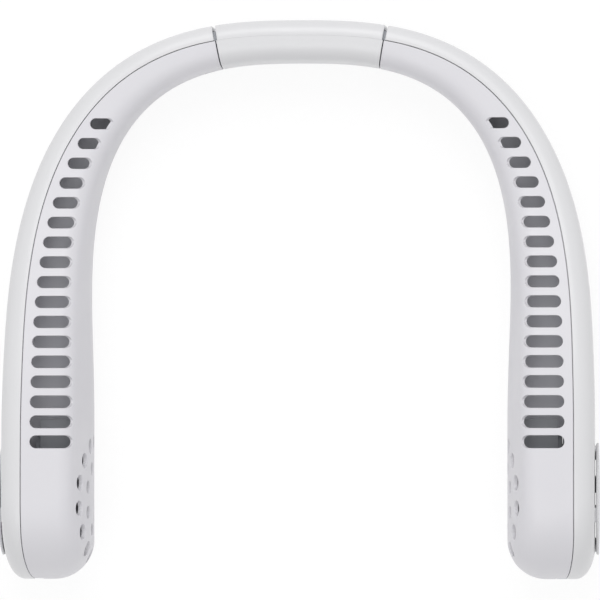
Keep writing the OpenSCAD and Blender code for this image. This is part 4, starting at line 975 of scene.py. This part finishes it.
# The covers come from a polished tool: the same white, with a little more shine.
disc_abs = moulded("white_abs_polished", "#dedee0", "#dadadc", 20, 0.32, 0.35, 0.0008, patch_depth=0.03)
for side, mirrored in (("right", False), ("left", True)):
    disc = piece(side + "_intake_disc_cover", disc_grids, mirrored)
    disc.data.materials.append(disc_abs)
    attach(disc, side + "_arm")
    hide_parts(side + "_intake_disc")

# Power button
# A satin grey pill in the right tip's rim. Its top follows the rim's curve and its edge is rounded. The
# flange behind it, flat on the switch's side, is held inside the shell.
FLANGE_W, FLANGE_L, FLANGE_TOP, FLANGE_LOW, BUTTON_EDGE_R = 0.2, 0.5, 2.5, 1.95, 0.5
pill_turn = np.radians(np.concatenate([np.linspace(0, 180, 33), np.linspace(180, 360, 33)]))
bend = np.radians(np.linspace(0, 90, 7))
# Rings from the flange out to the front: how far each is set in, and how far it lies behind the rim's curve
round_in, round_up = BUTTON_EDGE_R * (1 - np.cos(bend)), BUTTON_EDGE_R * (1 - np.sin(bend))
steps_in = np.concatenate([[-FLANGE_W, -FLANGE_W, 0, 0], round_in, [1.0, 1.5]])[:, None]
steps_up = np.concatenate([[FLANGE_TOP, FLANGE_LOW, 1.9, 1.5], round_up, [0, 0]])
longer = np.where(steps_up >= FLANGE_LOW, FLANGE_L, 0)[:, None]
half_side = ((BUTTON_L - BUTTON_W) / 2 + longer) * np.repeat([1, -1], 33)
x = TIP_X + (BUTTON_W / 2 - steps_in) * np.cos(pill_turn)
q = (BUTTON_W / 2 - steps_in) * np.sin(pill_turn) + half_side
x = np.concatenate([0 * x[:1] + TIP_X, x, 0 * x[:1] + TIP_X])
q = np.concatenate([half_side[:1], q, half_side[-1:]])
up = np.concatenate([steps_up[:1], steps_up, steps_up[-1:]])[:, None]
bow = np.where(up == FLANGE_TOP, POD_R, np.sqrt(POD_R**2 - q**2))
button_grid = np.stack([x, POD_Y - bow + up, POD_R + q], -1)
button = piece("power_button_cap", [(button_grid, False, True)])
# Satin grey ABS, a little darker than the shells: a soft shine without an image.
button.data.materials.append(moulded("grey_abs_button", "#cfd2d8", "#c8cbd1", 5, 0.35, 0.3, 0.0015))
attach(button, "power_button")
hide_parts("power_button")

# Light pipes and charging socket
# Three clear pegs beside the button carry the light of the charge gauge to the rim. In the left tip a
# stamped steel socket with a dark tongue sits half a millimetre behind the opening.

# Clear polycarbonate, moulded and polished: see-through with a bright rim.
clear = moulded("clear_polycarbonate", "#f2f7ff", "#eaf1fb", 3, 0.12, 0.4, 0.0004, 1.58, 0.03,
                **{"Transmission Weight": 0.8})
dress(clear, "right_led_pipes")
# Stamped and tinned steel: a dull grey shine with faint drawing marks.
dress(moulded("tinned_steel", "#a6aaaf", "#9a9ea3", 1.5, 0.36, 0.2, 0.003, 1.5, Metallic=1.0),
      "left_usb_port")

# Power parts inside the arms
# A grey divider makes the air channel behind the slots and holds the wrapped battery cell. Green boards
# stand behind the blowers, with the switch under the button and dark wires up to the bridge.

# Grey ABS, moulded matt: the even wall that shows through the slots, its colour painted lighter than its own
# grey as painted light in the shaded slots.
dress(moulded("grey_abs_divider_painted_light", "#cdcdd3", "#c6c6cc", 12, 0.6, 0.35, 0.003),
      "left_duct_divider", "right_duct_divider")
# Shrunk blue PVC film: glossy, with long faint ripples.
dress(moulded("blue_pvc_wrap", "#3d6fb0", "#3a69a6", 6, 0.25, 2.5, 0.03, 1.53),
      "left_battery", "right_battery")
# Glass epoxy board under solder mask: deep green, a soft gloss and the cloth's weave just felt.
dress(moulded("green_solder_mask", "#2f5d46", "#274f3b", 2.5, 0.4, 0.5, 0.005, 1.55),
      "left_charge_board", "right_control_board")
# Black nylon switch body, matt.
dress(moulded("black_nylon", "#202226", "#2a2c30", 2, 0.5, 0.3, 0.003, 1.53), "right_button_switch")
# White acetal plunger, slippery and slightly waxy.
dress(moulded("white_acetal", "#d9dbe0", "#d3d5da", 1.5, 0.35, 0.3, 0.001, 1.48), "switch_plunger")
# Soft PVC insulation: near black with a low shine.
dress(moulded("black_pvc_insulation", "#30343a", "#282b30", 2, 0.45, 0.5, 0.005, 1.52),
      "left_wire", "right_wire", "bridge_wire")

# Blowers
# In each pod a bladed wheel turns inside a grey scroll housing: its hub carries a magnet ring round the
# wound stator, and its shaft runs in a bearing of the motor base.

# Mid grey ABS, matt, so that nothing shines through the slots and the intake holes. The base is darker.
dress(moulded("grey_abs_housing", "#a6a8ad", "#9ea0a5", 8, 0.55, 0.35, 0.003),
      "left_fan_housing", "right_fan_housing")
dress(moulded("grey_abs_base", "#8e9095", "#87898e", 8, 0.55, 0.35, 0.003),
      "left_motor_base", "right_motor_base")
# Glass-filled polyester: pale grey blades with a slight cloudiness.
dress(moulded("grey_pbt_wheel", "#c3c7cd", "#b9bdc3", 5, 0.45, 0.3, 0.002, 1.56),
      "left_impeller", "right_impeller")
# Enamelled copper wire, wound: warm and glossy, ridged at the wire's 0.3 mm.
dress(moulded("enamelled_copper", "#9a5f35", "#8a5330", 0.9, 0.35, 0.3, 0.03, 1.5, Metallic=0.9),
      "left_stator", "right_stator")
# Sintered bronze: dull, finely porous.
dress(moulded("sintered_bronze", "#a98a4e", "#977a44", 0.8, 0.5, 0.2, 0.01, 1.5, Metallic=1.0),
      "left_bearing", "right_bearing")
# Bonded ferrite: dark grey, matt and grainy.
dress(moulded("bonded_ferrite", "#4a4d52", "#404347", 1.2, 0.6, 0.25, 0.008, 1.6),
      "left_magnet_ring", "right_magnet_ring")

# Floor, light and camera
# The fan lies on its back on a plain white table, lit by two wide soft lights, the stronger one from the
# top of the picture, and by an even room. The camera looks down from high above, a little from the right.

# The table's half width, and how far it lies under the fan's lowest faces, so that none coincide
FLOOR_HALF, FLOOR_LOW = 3000.0, 0.3
floor_x, floor_y = np.meshgrid(*[np.linspace(-FLOOR_HALF, FLOOR_HALF, 5)] * 2)
floor = piece("floor", sheets([np.stack([floor_x, floor_y, 0 * floor_x - FLOOR_LOW], -1)]))
# White table top: plain for the light that falls on the fan, and white to the camera with the shadow kept.
TABLE_GLOW_SHARE, TABLE_GLOW, ROOM_LIGHT, WHITE = 0.8, 1.06, 0.67, (1, 1, 1, 1)


def seen_directly(owner):
    """Socket that is 1 for rays from the camera, a mirror image or a clear body, and 0 for light."""
    path = add(owner, "ShaderNodeLightPath", {}).outputs
    seen = path["Is Camera Ray"]
    for kind in ("Is Glossy Ray", "Is Transmission Ray"):
        seen = add(owner, "ShaderNodeMath", {0: seen, 1: path[kind]}, operation="MAXIMUM").outputs[0]
    return seen


table = bpy.data.materials.new("white_table")
table.use_nodes = True
table.node_tree.nodes.clear()
share = add(table, "ShaderNodeMath", {0: seen_directly(table), 1: TABLE_GLOW_SHARE}, operation="MULTIPLY")
matt = add(table, "ShaderNodeBsdfDiffuse", {"Color": colour("#f0f0f0")})
glow = add(table, "ShaderNodeEmission", {"Color": WHITE, "Strength": TABLE_GLOW})
mixed = add(table, "ShaderNodeMixShader", {0: share.outputs[0], 1: matt.outputs[0], 2: glow.outputs[0]})
add(table, "ShaderNodeOutputMaterial", {"Surface": mixed.outputs[0]})
floor.data.materials.append(table)

# The room lights the fan evenly from all sides, and is white where it is seen.
world = bpy.data.worlds.new("room")
bpy.context.scene.world = world
world.use_nodes = True
world.node_tree.nodes.clear()
level = add(world, "ShaderNodeMath", {0: seen_directly(world), 1: ROOM_LIGHT}, operation="MAXIMUM")
room = add(world, "ShaderNodeBackground", {"Color": WHITE, "Strength": level.outputs[0]})
add(world, "ShaderNodeOutputWorld", {"Surface": room.outputs[0]})

# Two square softboxes, aimed at the fan: their places and widths in metres, and their watts
LIT_POINT, BOX_W = Vector((0, 0, 0.02)), 0.9
for name, place, watts in (("key_softbox", (0.0, 0.95, 1.15), 7.0), ("top_softbox", (-0.1, -0.6, 1.4), 3.2)):
    lamp = bpy.data.lights.new(name, "AREA")
    lamp.shape, lamp.size, lamp.energy = "SQUARE", BOX_W, watts
    softbox = bpy.data.objects.new(name, lamp)
    bpy.context.collection.objects.link(softbox)
    softbox.location = place
    softbox.rotation_euler = (LIT_POINT - softbox.location).to_track_quat("-Z", "Y").to_euler()

# The camera's place in metres, the picture points to a metre at mid depth and to the whole width, the
# sensor's width in mm, and the three turns in radians
VIEW_DISTANCE, VIEW_RIGHT, SCALE_PX, PICTURE_PX, SENSOR = 2.2, 0.1103, 2992, 600, 36
TURN_Y, TURN_X, TURN_Z = 0.0501, -0.0001, -0.0014
camera_data = bpy.data.cameras.new("camera")
camera = bpy.data.objects.new("camera", camera_data)
bpy.context.collection.objects.link(camera)
camera.location = (VIEW_RIGHT, 0.0, POD_R / 1000 + VIEW_DISTANCE)
turned = Matrix.Rotation(TURN_Y, 3, "Y") @ Matrix.Rotation(TURN_X, 3, "X") @ Matrix.Rotation(TURN_Z, 3, "Z")
camera.rotation_euler = turned.to_euler()
camera_data.lens, camera_data.sensor_width = SENSOR * SCALE_PX * VIEW_DISTANCE / PICTURE_PX, SENSOR
camera_data.clip_end = 20
bpy.context.scene.camera = camera
bpy.context.scene.view_settings.view_transform = "Standard"
